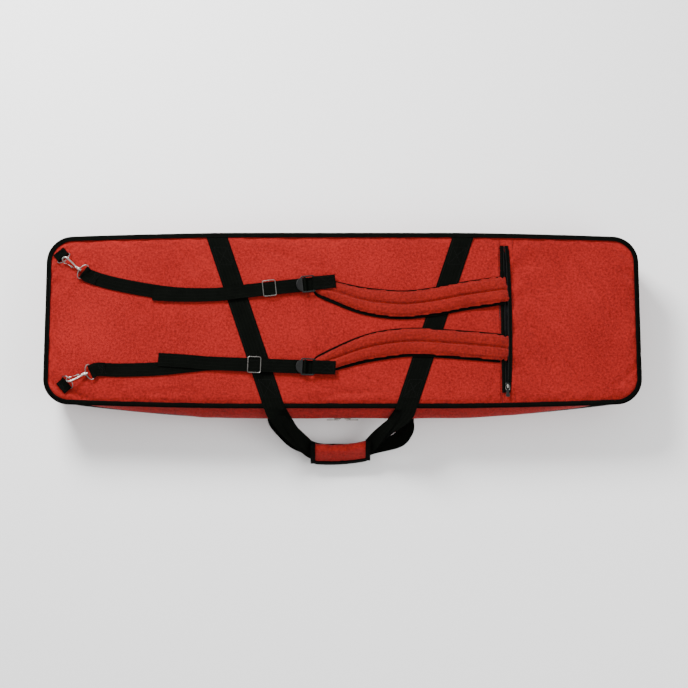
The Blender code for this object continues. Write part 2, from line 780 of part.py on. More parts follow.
def ladder_lock(tag, strap):
    """The plastic buckle: a frame, a bar for the pad's tab, a bar that the webbing turns round, and a lip."""
    heading = buckle_heading(strap)
    outer_half = STRAP_WIDTH / 2 + 0.0045
    slot_half = STRAP_WIDTH / 2 + 0.0012
    bar = BUCKLE_BAR / 2
    taper = 0.006

    def rectangle(left, right, half):
        return [(left, -half), (right, -half), (right, half), (left, half)]

    lip = -BUCKLE_LENGTH
    frame = [(lip, -outer_half + taper), (lip + taper, -outer_half), (bar, -outer_half)]
    frame += [(x, -y) for x, y in reversed(frame)]
    slots = [
        rectangle(-BUCKLE_PITCH + bar, -bar, slot_half),
        rectangle(lip + 0.0032, -BUCKLE_PITCH - bar, slot_half),
    ]
    obj = plate(f"ladder_lock_{tag}", [frame] + slots, -bar, bar, PLASTIC)
    hinge = Vector((TAIL_TURN_X, buckle_y(strap), BUCKLE_Z)) + heading_vector(heading) * BUCKLE_PITCH
    obj.matrix_world = Matrix.Translation(hinge) @ Matrix.Rotation(heading, 4, "Z")
    folded_web(f"pad_tab_{tag}", hinge, heading, 0.050, STRAP_WIDTH, BLACK, on_top=True)


def strap_slider(tag, strap):
    """The wire slider: two bars over the webbing, one under it, and a rail along each edge."""
    (x0, y0), (x1, y1) = strap["web"][-2:]
    heading = buckle_heading(strap)
    x = strap["slider_x"]
    centre = Vector((x, y0 + (y1 - y0) * (x - x0) / (x1 - x0), 0))
    turn = Matrix.Rotation(heading, 4, "Z")
    length, wire = 0.032, 0.0020
    rail_y = STRAP_WIDTH / 2 + 0.0022
    low, high = 0.1327, 0.1430

    def place(dx, dy, z):
        return centre + turn.to_3x3() @ Vector((dx, dy, 0)) + Vector((0, 0, z))

    rails = [
        box(f"rail_{i}", (length, wire, high - low), place(0, i * rail_y, (low + high) / 2), STEEL, turn)
        for i in (-1, 1)
    ]
    bars = [
        box(
            f"bar_{i}", (wire, 2 * rail_y, 0.0018),
            place(i * (length - wire) / 2, 0, high - 0.0009), STEEL, turn,
        )
        for i in (-1, 1)
    ]
    under_size = (0.006, 2 * rail_y + wire, 0.0014)
    under = box(f"strap_slider_{tag}", under_size, place(0, 0, low + 0.0007), STEEL, turn)
    join(under, *rails, *bars)


def shoulder_pad(tag, strap):
    path = smooth_path(strap["pad"])
    count = len(path) - 1
    widths = [PAD_WIDTH * (1 - 0.42 * max(0, i / count - 0.62) / 0.38) for i in range(count + 1)]
    ribbon(f"shoulder_pad_{tag}", path, widths, PAD_THICKNESS, PAD_Z, RED)
    root_y = strap["pad"][0][1]
    low = BACK_FACE_Z - FABRIC - GAP - POCKET_DEPTH + GAP
    left, right, half = POCKET_ZIP_X + 0.001, 0.450, PAD_WIDTH / 2 - 0.002
    loop = [(left, root_y - half), (right, root_y - half), (right, root_y + half), (left, root_y + half)]
    plate(f"strap_anchor_{tag}", [loop], low, low + 0.0025, BLACK)


def build():
    back_foam = shell("back", lambda z, depth: z - depth)
    shell("front", lambda z, depth: z + depth)
    front_panel()
    back_panels(back_foam)
    for side in ("back", "front"):
        zip_half(side)
    hinge_tape()
    pocket_zip()
    carry_webs()
    handles()

    zip_face_y = -(ZIP_SIDE_MID + 3 * GAP + ZIP_TAPE + 2 * ZIP_COIL_RADIUS)
    for hand, sign in (("left", -1), ("right", 1)):
        zip_slider(f"zip_{hand}", (sign * 0.012, zip_face_y, ZIP_Z), Vector((sign, 0, 0)), Vector((0, -1, 0)))
    pocket_seat = BACK_FACE_Z + 0.0016 + GAP
    slider_y = POCKET_ZIP_Y[0] + 0.009
    zip_slider("pocket", (POCKET_ZIP_X, slider_y, pocket_seat), Vector((0, -1, 0)), Vector((0, 0, 1)))

    for tag, strap in STRAPS.items():
        shoulder_pad(tag, strap)
        ladder_lock(tag, strap)
        strap_webbing(tag, strap)
        strap_slider(tag, strap)
        swivel_eye(tag, strap)
        snap_hook(tag, strap)
        corner_ring(tag, strap)


build()
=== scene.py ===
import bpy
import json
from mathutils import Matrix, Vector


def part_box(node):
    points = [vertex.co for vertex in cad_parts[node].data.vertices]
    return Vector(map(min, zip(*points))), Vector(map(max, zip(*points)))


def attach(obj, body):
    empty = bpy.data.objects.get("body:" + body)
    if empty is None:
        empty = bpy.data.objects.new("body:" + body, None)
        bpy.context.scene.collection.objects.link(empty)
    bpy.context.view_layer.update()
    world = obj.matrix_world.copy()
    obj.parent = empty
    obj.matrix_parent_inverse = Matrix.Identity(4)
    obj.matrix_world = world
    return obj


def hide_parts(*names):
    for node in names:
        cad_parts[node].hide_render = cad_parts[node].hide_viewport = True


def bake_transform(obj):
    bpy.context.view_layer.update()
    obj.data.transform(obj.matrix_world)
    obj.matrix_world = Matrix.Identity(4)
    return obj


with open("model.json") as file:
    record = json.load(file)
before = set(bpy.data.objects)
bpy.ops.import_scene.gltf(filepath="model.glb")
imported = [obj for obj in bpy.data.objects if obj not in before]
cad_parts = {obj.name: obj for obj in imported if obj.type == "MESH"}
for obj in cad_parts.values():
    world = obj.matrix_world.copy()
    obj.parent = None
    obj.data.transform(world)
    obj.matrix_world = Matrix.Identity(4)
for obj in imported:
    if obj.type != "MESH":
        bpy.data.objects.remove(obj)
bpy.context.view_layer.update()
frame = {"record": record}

import json
from math import cos, pi, radians, sin, sqrt

import bpy
import numpy as np
from mathutils import Matrix, Vector, noise

UP = Vector((0, 0, 1))
ALONG = Vector((1, 0, 0))
FINE_STITCH = (0.0036, 0.0026, 0.0003)
SMOOTHER = ("SUBSURF", {"levels": 1, "render_levels": 1})

# The bag's places, taken from the frame where it has them
JOINTS = {joint["name"]: joint for joint in frame["record"]["behaviour"]["joints"]}
HALF_LENGTH, HALF_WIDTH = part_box("back_binding")[1][:2]
END_DROP = 0.009
CORNER = 0.062
REACH = HALF_LENGTH - CORNER
STRAIGHT_SHARE = 0.4
PANEL_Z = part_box("back_panel")[1][2]
ZIP_Z = JOINTS["lid_hinge"]["pos_m"][2]
ZIP_SIDE = -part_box("back_wall")[0][1]
HINGE_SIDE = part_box("back_wall")[1][1]
POCKET_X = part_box("back_panel")[1][0]
ZIP_LOW_Y, ZIP_HIGH_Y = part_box("pocket_zip_tape_left")[0][1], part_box("pocket_zip_tape_left")[1][1]
MOUTH_X = JOINTS["pocket_pull_flip"]["pos_m"][0]
BINDING_WIDTH = 0.0115
TUCK = 0.0065
WALL_DEPTH = 0.0045
NEAR_BULGE, BULGE_REACH = 0.0110, 0.66
LINING_INSET = 0.018
FRONT_NEAR = (HALF_WIDTH - 0.0015, HALF_WIDTH - 0.0260)
PULL_HEIGHT = 0.0040

# Webbing and straps
CARRY_WIDTH = 0.048
CARRY_TOP_X = (-0.296, 0.284)
CARRY_EDGE_X = (-0.158, 0.148)
FRONT_LOOP_RISE = 0.009
GRIP_LOW, GRIP_HIGH = (Vector(corner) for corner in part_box("handle_grip"))
GRIP_MIDDLE = (GRIP_LOW + GRIP_HIGH) / 2
GRIP_HALF = (GRIP_HIGH.x - GRIP_LOW.x) / 2
GRIP_SLOPE = radians(46)
GRIP_OUT = Vector((0, -cos(GRIP_SLOPE), -sin(GRIP_SLOPE)))
GRIP_UP = Vector((0, -sin(GRIP_SLOPE), cos(GRIP_SLOPE)))
GRIP_WIDE, GRIP_DEEP = 0.0290, 0.0135
CARRY_FAR_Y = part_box("back_carry_web_left")[1][1]
CARRY_NEAR_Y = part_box("back_carry_web_left")[0][1]
CARRY_LEAN = [(top - edge) / (CARRY_FAR_Y - CARRY_NEAR_Y) for top, edge in zip(CARRY_TOP_X, CARRY_EDGE_X)]
INWARD = (1, -1)
STRAP_WIDTH = 0.032
STRAP_BOX_HALF = STRAP_WIDTH / 2 - 0.004
FOLD_RADIUS = 0.0028
LAYER_STEP = 0.0019
THREAD_LIFT = 0.0009
EYE_BAR = 0.052
WEB = 0.0017
STRAPS = {
    "upper": {
        "pad": [(0.392, 0.073), (0.345, 0.066), (0.280, 0.056), (0.205, 0.042), (0.135, 0.036),
                (0.054, 0.045), (-0.012, 0.064), (-0.067, 0.0815)],
        "web": [(-0.540, 0.086), (-0.452, 0.069), (-0.380, 0.0605), (-0.300, 0.0596), (-0.235, 0.0665),
                (-0.150, 0.0759), (-0.066, 0.0852)],
        "tail": [(-0.447, 0.0605), (-0.380, 0.0575), (-0.300, 0.0590), (-0.235, 0.0663), (-0.170, 0.0737)],
        "ring_heading": radians(-50),
    },
    "lower": {
        "pad": [(0.392, -0.069), (0.330, -0.0635), (0.247, -0.057), (0.173, -0.053), (0.114, -0.057),
                (0.053, -0.069), (-0.012, -0.091), (-0.067, -0.1120)],
        "web": [(-0.520, -0.1205), (-0.431, -0.1175), (-0.355, -0.1095), (-0.300, -0.1052), (-0.230, -0.1077),
                (-0.150, -0.1109), (-0.066, -0.1143)],
        "tail": [(-0.431, -0.0955), (-0.370, -0.0995), (-0.315, -0.1040), (-0.270, -0.1062),
                 (-0.200, -0.1090)],
        "ring_heading": radians(41),
    },
}


# Materials


def tree_of(name):
    made = bpy.data.materials.new(name)
    made.use_nodes = True
    return made, made.node_tree


def node(tree, kind, settings=None, inputs=None):
    """A shader node with its settings, and its inputs as values or as sockets to link from."""
    made = tree.nodes.new(kind)
    for key, value in (settings or {}).items():
        setattr(made, key, value)
    feed(tree, made, inputs or {})
    return made


def feed(tree, shader, inputs):
    for key, value in inputs.items():
        if isinstance(value, bpy.types.NodeSocket):
            tree.links.new(value, shader.inputs[key])
        else:
            shader.inputs[key].default_value = value


def surface(tree, inputs):
    feed(tree, tree.nodes["Principled BSDF"], inputs)


def maths(tree, operation, a, b=0.0):
    return node(tree, "ShaderNodeMath", {"operation": operation}, {0: a, 1: b}).outputs[0]


def add_share(tree, base, value, share):
    return maths(tree, "ADD", base, maths(tree, "MULTIPLY", value, share))


def grain(tree, coordinates, scale, detail=3.0, roughness=0.55):
    inputs = {"Vector": coordinates, "Scale": scale, "Detail": detail, "Roughness": roughness}
    return node(tree, "ShaderNodeTexNoise", None, inputs).outputs["Fac"]


def blend_colours(tree, factor, first, second):
    ramp = node(tree, "ShaderNodeMix", {"data_type": "RGBA"}, {0: factor, 6: (*first, 1), 7: (*second, 1)})
    return ramp.outputs[2]


def stretch(tree, value, low, high):
    inputs = {"Value": value, "From Min": low, "From Max": high}
    return node(tree, "ShaderNodeMapRange", None, inputs).outputs[0]


def bump(tree, height, distance, strength=1.0, normal=None):
    inputs = {"Height": height, "Distance": distance, "Strength": strength}
    if normal is not None:
        inputs["Normal"] = normal
    return node(tree, "ShaderNodeBump", None, inputs).outputs[0]


def waves(tree, value, pitch):
    return maths(tree, "SINE", maths(tree, "MULTIPLY", value, 2 * pi / pitch))


def nylon(name, dark, light, pitch=0.0012, sheen=0.03):
    """Plain-weave nylon: over-and-under threads, mottled dye, and soft creases too small to model."""
    made, tree = tree_of(name)
    place = node(tree, "ShaderNodeTexCoord").outputs["Object"]
    axes = node(tree, "ShaderNodeSeparateXYZ", None, {0: place}).outputs
    x, y, z = (waves(tree, axis, pitch) for axis in axes)
    upright = maths(tree, "MULTIPLY", maths(tree, "ADD", x, y), z)
    weave = maths(tree, "ADD", maths(tree, "MULTIPLY", x, y), upright)
    speckle = grain(tree, place, 420, 4.0, 0.8)
    clouds = grain(tree, place, 9, 4.0)
    coarse = grain(tree, place, 190, 2.0, 0.6)
    mottle = maths(tree, "MULTIPLY", speckle, 0.44)
    for layer, share in ((coarse, 0.40), (clouds, 0.14), (weave, 0.022)):
        mottle = add_share(tree, mottle, layer, share)
    colour = blend_colours(tree, stretch(tree, mottle, 0.37, 0.63), dark, light)
    creases = grain(tree, place, 42, 3.0)
    normal = bump(tree, creases, 0.0016, 0.6)
    normal = bump(tree, speckle, 0.0004, 0.5, normal)
    normal = bump(tree, weave, 0.00025, 0.8, normal)
    roughness = stretch(tree, speckle, -1.2, 2.4)
    surface(tree, {"Base Color": colour, "Normal": normal, "Roughness": roughness, "Sheen Weight": sheen,
                   "Sheen Roughness": 0.5, "Specular IOR Level": 0.06})
    return made


def webbing(name, dark, light, pitch=0.0024, rough=0.62):
    """Woven webbing on a map of metres: chevron ribs along it, firmer selvedges and a dusty nap."""
    made, tree = tree_of(name)
    place = node(tree, "ShaderNodeTexCoord").outputs
    axes = node(tree, "ShaderNodeSeparateXYZ", None, {0: place["UV"]}).outputs
    u, v = axes[0], axes[1]
    chevron = 0.004
    ribs = waves(tree, maths(tree, "ADD", u, maths(tree, "PINGPONG", v, chevron)), pitch)
    lines = waves(tree, v, chevron)
    weave = add_share(tree, ribs, lines, 0.5)
    nap = grain(tree, place["Object"], 500, 3.0, 0.7)
    dust = grain(tree, place["Object"], 30, 4.0)
    tone = maths(tree, "ADD", maths(tree, "MULTIPLY", weave, 0.10), nap)
    tone = add_share(tree, tone, dust, 0.5)
    colour = blend_colours(tree, stretch(tree, tone, 0.45, 1.05), dark, light)
    normal = bump(tree, weave, 0.0004, 0.8)
    normal = bump(tree, nap, 0.0003, 0.5, normal)
    surface(tree, {"Base Color": colour, "Normal": normal, "Roughness": rough, "Specular IOR Level": 0.02})
    return made


def nickel(name, dark=(0.30, 0.285, 0.26), light=(0.56, 0.54, 0.50)):
    """Plated steel with faint draw lines and handling marks."""
    made, tree = tree_of(name)
    place = node(tree, "ShaderNodeTexCoord").outputs["Object"]
    marks = grain(tree, place, 260, 5.0, 0.7)
    haze = grain(tree, place, 45, 3.0)
    colour = blend_colours(tree, haze, dark, light)
    roughness = stretch(tree, marks, -0.25, 2.2)
    normal = bump(tree, marks, 0.00005, 0.4)
    surface(tree, {"Base Color": colour, "Roughness": roughness, "Normal": normal, "Metallic": 1.0})
    return made


def moulded(name):
    """Black moulded plastic with a fine spark-eroded grain and rubbed, slightly paler high spots."""
    made, tree = tree_of(name)
    place = node(tree, "ShaderNodeTexCoord").outputs["Object"]
    pits = grain(tree, place, 900, 2.0)
    rub = grain(tree, place, 70, 4.0)
    colour = blend_colours(tree, rub, (0.0012, 0.0013, 0.0014), (0.0055, 0.0058, 0.0056))
    roughness = stretch(tree, rub, -0.6, 1.9)
    normal = bump(tree, pits, 0.0001, 0.5)
    surface(tree, {"Base Color": colour, "Roughness": roughness, "Normal": normal,
                   "Specular IOR Level": 0.22})
    return made


RED = nylon("red_nylon", (0.138, 0.0042, 0.0032), (0.365, 0.0160, 0.0130))
PAD_RED = nylon("pad_nylon", (0.110, 0.0038, 0.0024), (0.300, 0.0138, 0.0092))
SEAM_RED = nylon("seam_thread", (0.030, 0.0012, 0.0008), (0.085, 0.0040, 0.0025))
LINING = nylon("lining_nylon", (0.010, 0.010, 0.011), (0.026, 0.026, 0.028), 0.0016, 0.1)
BLACK = webbing("black_webbing", (0.0008, 0.0011, 0.0007), (0.0030, 0.0038, 0.0028))
TAPE = webbing("black_tape", (0.0008, 0.0010, 0.0007), (0.0034, 0.0040, 0.0031), 0.0014)
COIL = moulded("zip_coil")
PLASTIC = moulded("black_plastic")
STEEL = nickel("nickel_steel")
# Painted shade: a darker copy of the same nickel, standing for the shade on the D-rings, the swivel eyes'
# loops, the tri-glides and the hook gates.
SHADE_DARK_NICKEL = nickel("shade_dark_nickel", (0.10, 0.097, 0.09), (0.26, 0.25, 0.235))
ENAMEL = moulded("black_enamel")
THREAD = webbing("black_thread", (0.004, 0.0045, 0.004), (0.014, 0.015, 0.014), 0.0008)


# Mesh building


def clamp(value):
    return min(1.0, max(0.0, value))


def bell(value):
    """One at zero, falling away smoothly to nothing on both sides."""
    return 2.718 ** (-(value**2))


def signed_power(value, power):
    return abs(value) ** power * (1 if value > 0 else -1)


def full_turn(count):
    return [2 * pi * k / count for k in range(count)]


def at_height(point, z):
    return Vector((point.x, point.y, z))


def spans_of(line):
    return [(b - a).length for a, b in zip(line, line[1:])]


def linked(name, data):
    obj = bpy.data.objects.new(name, data)
    bpy.context.scene.collection.objects.link(obj)
    return obj


def shade_smooth(mesh, sharp=None):
    """Smooth shading, apart from edges that turn by more than sharp degrees."""
    mesh.polygons.foreach_set("use_smooth", [True] * len(mesh.polygons))
    if sharp is not None:
        mesh.set_sharp_from_angle(angle=radians(sharp))


def placed(obj, body, slot, *nodes):
    """Puts a piece on its body, in the place of the nodes it stands for; slot is not used."""
    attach(obj, body)
    if nodes:
        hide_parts(*nodes)


def mesh_object(name, points, faces, finish, uvs=None, sharp=None):
    """A smooth-shaded mesh; uvs holds one pair for each point, in metres along and across."""
    mesh = bpy.data.meshes.new(name)
    mesh.from_pydata([tuple(p) for p in points], [], faces)
    if uvs is not None:
        layer = mesh.uv_layers.new(name="metres")
        corner_points = np.zeros(len(mesh.loops), dtype=np.int32)
        mesh.loops.foreach_get("vertex_index", corner_points)
        layer.data.foreach_set("uv", np.asarray(uvs, dtype=np.float32)[corner_points].ravel())
    shade_smooth(mesh, sharp)
    mesh.materials.append(finish)
    return linked(name, mesh)


def ring_faces(rings, count, closed_path=False, closed_ring=True, caps=True):
    """Quads between rings of points that are numbered ring by ring."""
    faces = []
    for level in range(rings if closed_path else rings - 1):
        after = (level + 1) % rings
        for i in range(count if closed_ring else count - 1):
            j = (i + 1) % count
            faces.append((level * count + i, level * count + j, after * count + j, after * count + i))
    if caps and closed_ring and not closed_path:
        faces.append(tuple(reversed(range(count))))
        faces.append(tuple(range((rings - 1) * count, rings * count)))
    return faces


def grid_faces(columns, rows, flipped=False):
    """Quads between columns of points that are numbered column by column."""
    faces = []
    for i in range(columns):
        for j in range(rows):
            a = i * (rows + 1) + j
            face = (a, a + rows + 1, a + rows + 2, a + 1)
            faces.append(tuple(reversed(face)) if flipped else face)
    return faces


def smooth_path(points, steps=8):
    """Points along a Catmull-Rom curve through the given ones."""
    path = [Vector(p) for p in points]
    ends = [2 * path[0] - path[1]] + path + [2 * path[-1] - path[-2]]
    made = []
    for a, b, c, d in zip(ends, ends[1:], ends[2:], ends[3:]):
        for i in range(steps):
            t = i / steps
            square, cube = 2 * a - 5 * b + 4 * c - d, 3 * b - a - 3 * c + d
            made.append(0.5 * (2 * b + (c - a) * t + square * t**2 + cube * t**3))
    return made + [path[-1]]


def tangents(path, closed=False):
    count = len(path)
    made = []
    for i in range(count):
        before = path[i - 1] if closed or i else path[0]
        after = path[(i + 1) % count] if closed or i < count - 1 else path[-1]
        made.append((after - before).normalized())
    return made


def sweep(name, path, sides, profile, finish, closed=False, sharp=35):
    """A closed profile of (across, up) points carried along a path; sides gives each point's across way."""
    path = [Vector(p) for p in path]
    ways = tangents(path, closed)
    points, uvs, travelled = [], [], 0.0
    for i, (point, way) in enumerate(zip(path, ways)):
        across = Vector(sides[i]).normalized()
        up = way.cross(across).normalized()
        outline = profile(i) if callable(profile) else profile
        if i:
            travelled += (point - path[i - 1]).length
        for a, b in outline:
            points.append(point + across * a + up * b)
            uvs.append((travelled, a))
    faces = ring_faces(len(path), len(outline), closed)
    return mesh_object(name, points, faces, finish, uvs, sharp)


def band(width, thickness, edge=0.35):
    """The section of a woven band: flat faces and rolled selvedges, from its middle."""
    half, deep = width / 2, thickness / 2
    roll = deep * edge
    count = 8
    inner = [half - roll * 2 - (width - roll * 4) * i / count for i in range(count + 1)]
    top = [(half, -roll), (half, roll), (half - roll, deep)]
    top += [(a, deep) for a in inner] + [(roll - half, deep)]
    return top + [(-a, -b) for a, b in top]


def web(name, path, width, thickness, finish, sides=None):
    """Webbing along a 3D path. Its flat side faces up unless sides says which way runs across it."""
    path = [Vector(p) for p in path]
    if sides is None:
        sides = [UP.cross(way) for way in tangents(path)]
        sides = [side if side.length > 0.2 else sides[0] for side in sides]
    widths = width if isinstance(width, list) else [width] * len(path)
    return sweep(name, path, sides, lambda i: band(widths[i], thickness), finish)


def tube(name, path, radius, finish, closed=False, sides=12):
    """Round wire along a path, with one radius or a list of them."""
    path = [Vector(p) for p in path]
    ways = tangents(path, closed)
    radii = radius if isinstance(radius, list) else [radius] * len(path)
    across = ways[0].orthogonal().normalized()
    points = []
    for point, way, r in zip(path, ways, radii):
        across = (across - way * across.dot(way)).normalized()
        up = way.cross(across)
        points += [point + (across * cos(turn) + up * sin(turn)) * r for turn in full_turn(sides)]
    if closed:
        return mesh_object(name, points, closed_tube_faces(points, len(path), sides), finish)
    return mesh_object(name, points, ring_faces(len(path), sides), finish, sharp=50)


def closed_tube_faces(points, rings, sides):
    """Faces of a closed tube; the last ring meets the first at whichever turn lines up."""
    last, first = points[-sides:], points[:sides]
    shift = min(range(sides), key=lambda k: (last[0] - first[k]).length)
    faces = ring_faces(rings, sides, caps=False)
    base = (rings - 1) * sides
    for i in range(sides):
        j = (i + 1) % sides
        faces.append((base + i, base + j, (j + shift) % sides, (i + shift) % sides))
    return faces


def merged(name, parts):
    """Several meshes as one object, with the first one's material slots first."""
    points, faces, uvs, slots, finishes = [], [], [], [], []
    for part in parts:
        mesh = part.data
        base = len(points)
        points += [part.matrix_world @ v.co for v in mesh.vertices]
        for finish in mesh.materials:
            if finish not in finishes:
                finishes.append(finish)
        uv = mesh.uv_layers.active
        for face in mesh.polygons:
            faces.append([base + k for k in face.vertices])
            slots.append(finishes.index(mesh.materials[face.material_index]))
            uvs += [tuple(uv.data[k].uv) if uv else (0.0, 0.0) for k in face.loop_indices]
        bpy.data.objects.remove(part)
    mesh = bpy.data.meshes.new(name)
    mesh.from_pydata([tuple(p) for p in points], [], faces)
    layer = mesh.uv_layers.new(name="metres")
    layer.data.foreach_set("uv", np.asarray(uvs, dtype=np.float32).ravel())
    shade_smooth(mesh, 40)
    for finish in finishes:
        mesh.materials.append(finish)
    mesh.polygons.foreach_set("material_index", slots)
    return linked(name, mesh)


def settled(obj, *modifiers):
    """The object with its modifiers applied to the mesh."""
    for kind, settings in modifiers:
        modifier = obj.modifiers.new(kind.lower(), kind)
        for key, value in settings.items():
            setattr(modifier, key, value)
    bpy.context.view_layer.update()
    graph = bpy.context.evaluated_depsgraph_get()
    mesh = bpy.data.meshes.new_from_object(obj.evaluated_get(graph))
    obj.modifiers.clear()
    obj.data = mesh
    return obj


def coordinates(obj):
    flat = np.zeros(len(obj.data.vertices) * 3)
    obj.data.vertices.foreach_get("co", flat)
    return flat.reshape(-1, 3)


def set_coordinates(obj, points):
    obj.data.vertices.foreach_set("co", np.asarray(points).ravel())
    obj.data.update()


def relax_cloth(obj, pins, pressure, cap, shrink=0.0, stiffness=15.0, frames=20):
    """Runs cloth on the mesh with no gravity and keeps its shape, with each point's travel capped."""
    rest = coordinates(obj)
    modifier = obj.modifiers.new("cloth", "CLOTH")
    cloth = modifier.settings
    cloth.quality = 4
    cloth.mass = 0.3
    cloth.tension_stiffness = stiffness
    cloth.compression_stiffness = stiffness
    cloth.bending_stiffness = 0.8
    cloth.shrink_min = shrink
    cloth.use_pressure = True
    cloth.uniform_pressure_force = pressure
    cloth.effector_weights.gravity = 0
    if len(pins):
        group = obj.vertex_groups.new(name="pins")
        group.add([int(i) for i in pins], 1.0, "REPLACE")
        cloth.vertex_group_mass = "pins"
    modifier.point_cache.frame_start = 1
    modifier.point_cache.frame_end = frames
    scene = bpy.context.scene
    for number in range(1, frames + 1):
        scene.frame_set(number)
    graph = bpy.context.evaluated_depsgraph_get()
    soft = obj.evaluated_get(graph).to_mesh()
    moved = np.zeros(len(soft.vertices) * 3)
    soft.vertices.foreach_get("co", moved)
    travel = moved.reshape(-1, 3) - rest
    obj.evaluated_get(graph).to_mesh_clear()
    length = np.linalg.norm(travel, axis=1, keepdims=True)
    travel *= np.minimum(1.0, cap / np.maximum(length, 1e-9))
    obj.modifiers.remove(modifier)
    set_coordinates(obj, rest + travel)
    scene.frame_set(1)


def thickened(depth):
    return "SOLIDIFY", {"thickness": depth, "offset": -1}


def remeshed(obj, voxel):
    return settled(obj, ("REMESH", {"mode": "VOXEL", "voxel_size": voxel, "use_smooth_shade": True}))


def noise_at(x, y, z, scale):
    return noise.noise(Vector((x * scale, y * scale, z * scale)))


def stitches(name, lines, pitch=0.0042, length=0.0029, radius=0.00038, finish=THREAD, normal=(0, 0, 1)):
    """Thread stitches that dip into the cloth at both ends, along each line of points."""
    parts = []
    down = Vector(normal) * radius * 1.6
    for line in lines:
        line = [Vector(p) for p in line]
        spans = spans_of(line)
        total, place = sum(spans), pitch / 2
        while place < total - pitch / 2:
            ends = [point_along(line, spans, place + offset) for offset in (-length / 2, 0, length / 2)]
            rise, fall = (end * 0.6 + ends[1] * 0.4 for end in (ends[0], ends[2]))
            parts.append([ends[0] - down, rise, fall, ends[2] - down])
            place += pitch
    points, faces = [], []
    for path in parts:
        base = len(points)
        ways = tangents(path)
        for point, way in zip(path, ways):
            across = way.cross(Vector(normal))
            across = across.normalized() if across.length > 1e-6 else ALONG.copy()
            up = across.cross(way)
            points += [point + (across * cos(k * pi / 3) + up * sin(k * pi / 3)) * radius for k in range(6)]
        faces += [tuple(base + k for k in face) for face in ring_faces(len(path), 6)]
    return mesh_object(name, points, faces, finish)


def point_along(line, spans, distance):
    for a, b, span in zip(line, line[1:], spans):
        if distance <= span:
            return a + (b - a) * (distance / span)
        distance -= span
    return Vector(line[-1])


def box_cross(a, b, half, lift):
    """A sewn box with a cross in it, between two places along a strap."""
    corners = [a - half + lift, a + half + lift, b + half + lift, b - half + lift]
    lines = [[corners[i], corners[(i + 1) % 4]] for i in range(4)]
    return lines + [[corners[0], corners[2]], [corners[1], corners[3]]]


# The bag's outline


def half_width(x, mid, end):
    beyond = max(0.0, abs(x) / REACH - STRAIGHT_SHARE) / (1 - STRAIGHT_SHARE)
    return mid - (mid - end) * min(1.0, beyond) ** 1.5


def outline(half_length, near, far, radius=CORNER, sides=84, turns=12):
    """Counterclockwise points of a rounded, bowed oblong; near is the -Y side, each as (middle, end)."""
    reach = half_length - radius
    points = []

    def corner(sign_x, sign_y, end, start):
        for i in range(turns + 1):
            a = start + i / turns * pi / 2
            y = sign_y * (end - radius) + radius * sin(a)
            points.append(Vector((sign_x * reach + radius * cos(a), y, 0)))

    def side(sign_y, mid, end):
        for i in range(1, sides):
            x = sign_y * reach * (1 - 2 * i / sides)
            points.append(Vector((x, sign_y * half_width(x, mid, end), 0)))

    corner(1, 1, far[1], 0)
    side(1, *far)
    corner(-1, 1, far[1], pi / 2)
    corner(-1, -1, near[1], pi)
    side(-1, *near)
    corner(1, -1, near[1], -pi / 2)
    return densified(points, 0.030)


def densified(points, longest):
    """The closed outline with its long straight ends split up."""
    made = []
    for a, b in zip(points, points[1:] + points[:1]):
        steps = max(1, int((b - a).length / longest) + 1)
        made += [a + (b - a) * (i / steps) for i in range(steps)]
    return made


def inset(amount, side="back"):
    far = HALF_WIDTH - amount, HALF_WIDTH - END_DROP - amount
    near = (FRONT_NEAR[0] - amount, FRONT_NEAR[1] - amount) if side == "front" else far
    return outline(HALF_LENGTH - amount, near, far, CORNER - amount * 0.7)


def outward(points):
    return [Vector((way.y, -way.x, 0)) for way in tangents(points, closed=True)]


def wall_line(bulge, out=0.0, side="back"):
    """The side wall's outer face: bulge 0 is at the binding, and 1 is at the zip."""
    seam = 0.0105

    def between(a, b):
        return a + (b - a) * bulge + out

    mid, end = FRONT_NEAR if side == "front" else (HALF_WIDTH, HALF_WIDTH - END_DROP)
    near = between(mid - seam, ZIP_SIDE), between(end - seam, 0.190)
    far = between(HALF_WIDTH - seam, HINGE_SIDE), between(HALF_WIDTH - END_DROP - seam, 0.203)
    return outline(HALF_LENGTH - seam + (0.0055 * bulge) + out, near, far)


def binding(side):
    """Tape folded over the panel's edge seam: a plump roll with a flat lip on the face."""
    base = inset(0, side)
    normals = outward(base)
    up = 1 if side == "back" else -1
    top = PANEL_Z + 0.0008 if side == "back" else 0.0012
    section = [
        (BINDING_WIDTH, -0.0012), (BINDING_WIDTH, -0.0001), (0.0098, 0.0003), (0.0070, 0.00045),
        (0.0040, 0.0004),
        (0.0018, -0.0001), (0.0004, -0.0011), (0.0, -0.0025), (0.0006, -0.0039), (0.0024, -0.0048),
        (0.0060, -0.0050), (0.0086, -0.0046), (0.0092, -0.0030),
    ]
    points, uvs, travelled = [], [], 0.0
    for i, (point, way) in enumerate(zip(base, normals)):
        if i:
            travelled += (point - base[i - 1]).length
        wobble = 0.0005 * noise_at(point.x, point.y, up, 24) + 0.0003 * noise_at(point.x, point.y, up, 75)
        lump = 0.0004 * noise_at(point.x, point.y, up + 3, 55)
        for k, (a, b) in enumerate(section):
            reach_in = a + (wobble * 1.6 if k < 3 else 0.0)
            place = point - way * (reach_in - min(0.0, wobble))
            points.append(at_height(place, top + up * (b + (lump if 1 < k < 7 else 0.0))))
            uvs.append((travelled, a - b))
    faces = ring_faces(len(base), len(section), closed_path=True)
    if side == "back":
        faces = [tuple(reversed(face)) for face in faces]
    roll = mesh_object(f"{side}_binding_tape", points, faces, TAPE, uvs)
    line = [p - way * (BINDING_WIDTH - 0.0021) for p, way in zip(base, normals)]
    line = [at_height(p, top + up * 0.0002) for p in line + line[:1]]
    thread = stitches(f"{side}_binding_stitches", [line], 0.0046, 0.0032, normal=(0, 0, up))
    for piece in (roll, thread):
        placed(piece, f"{side}_shell", "black_webbing")
    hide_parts(f"{side}_binding")


# Panels


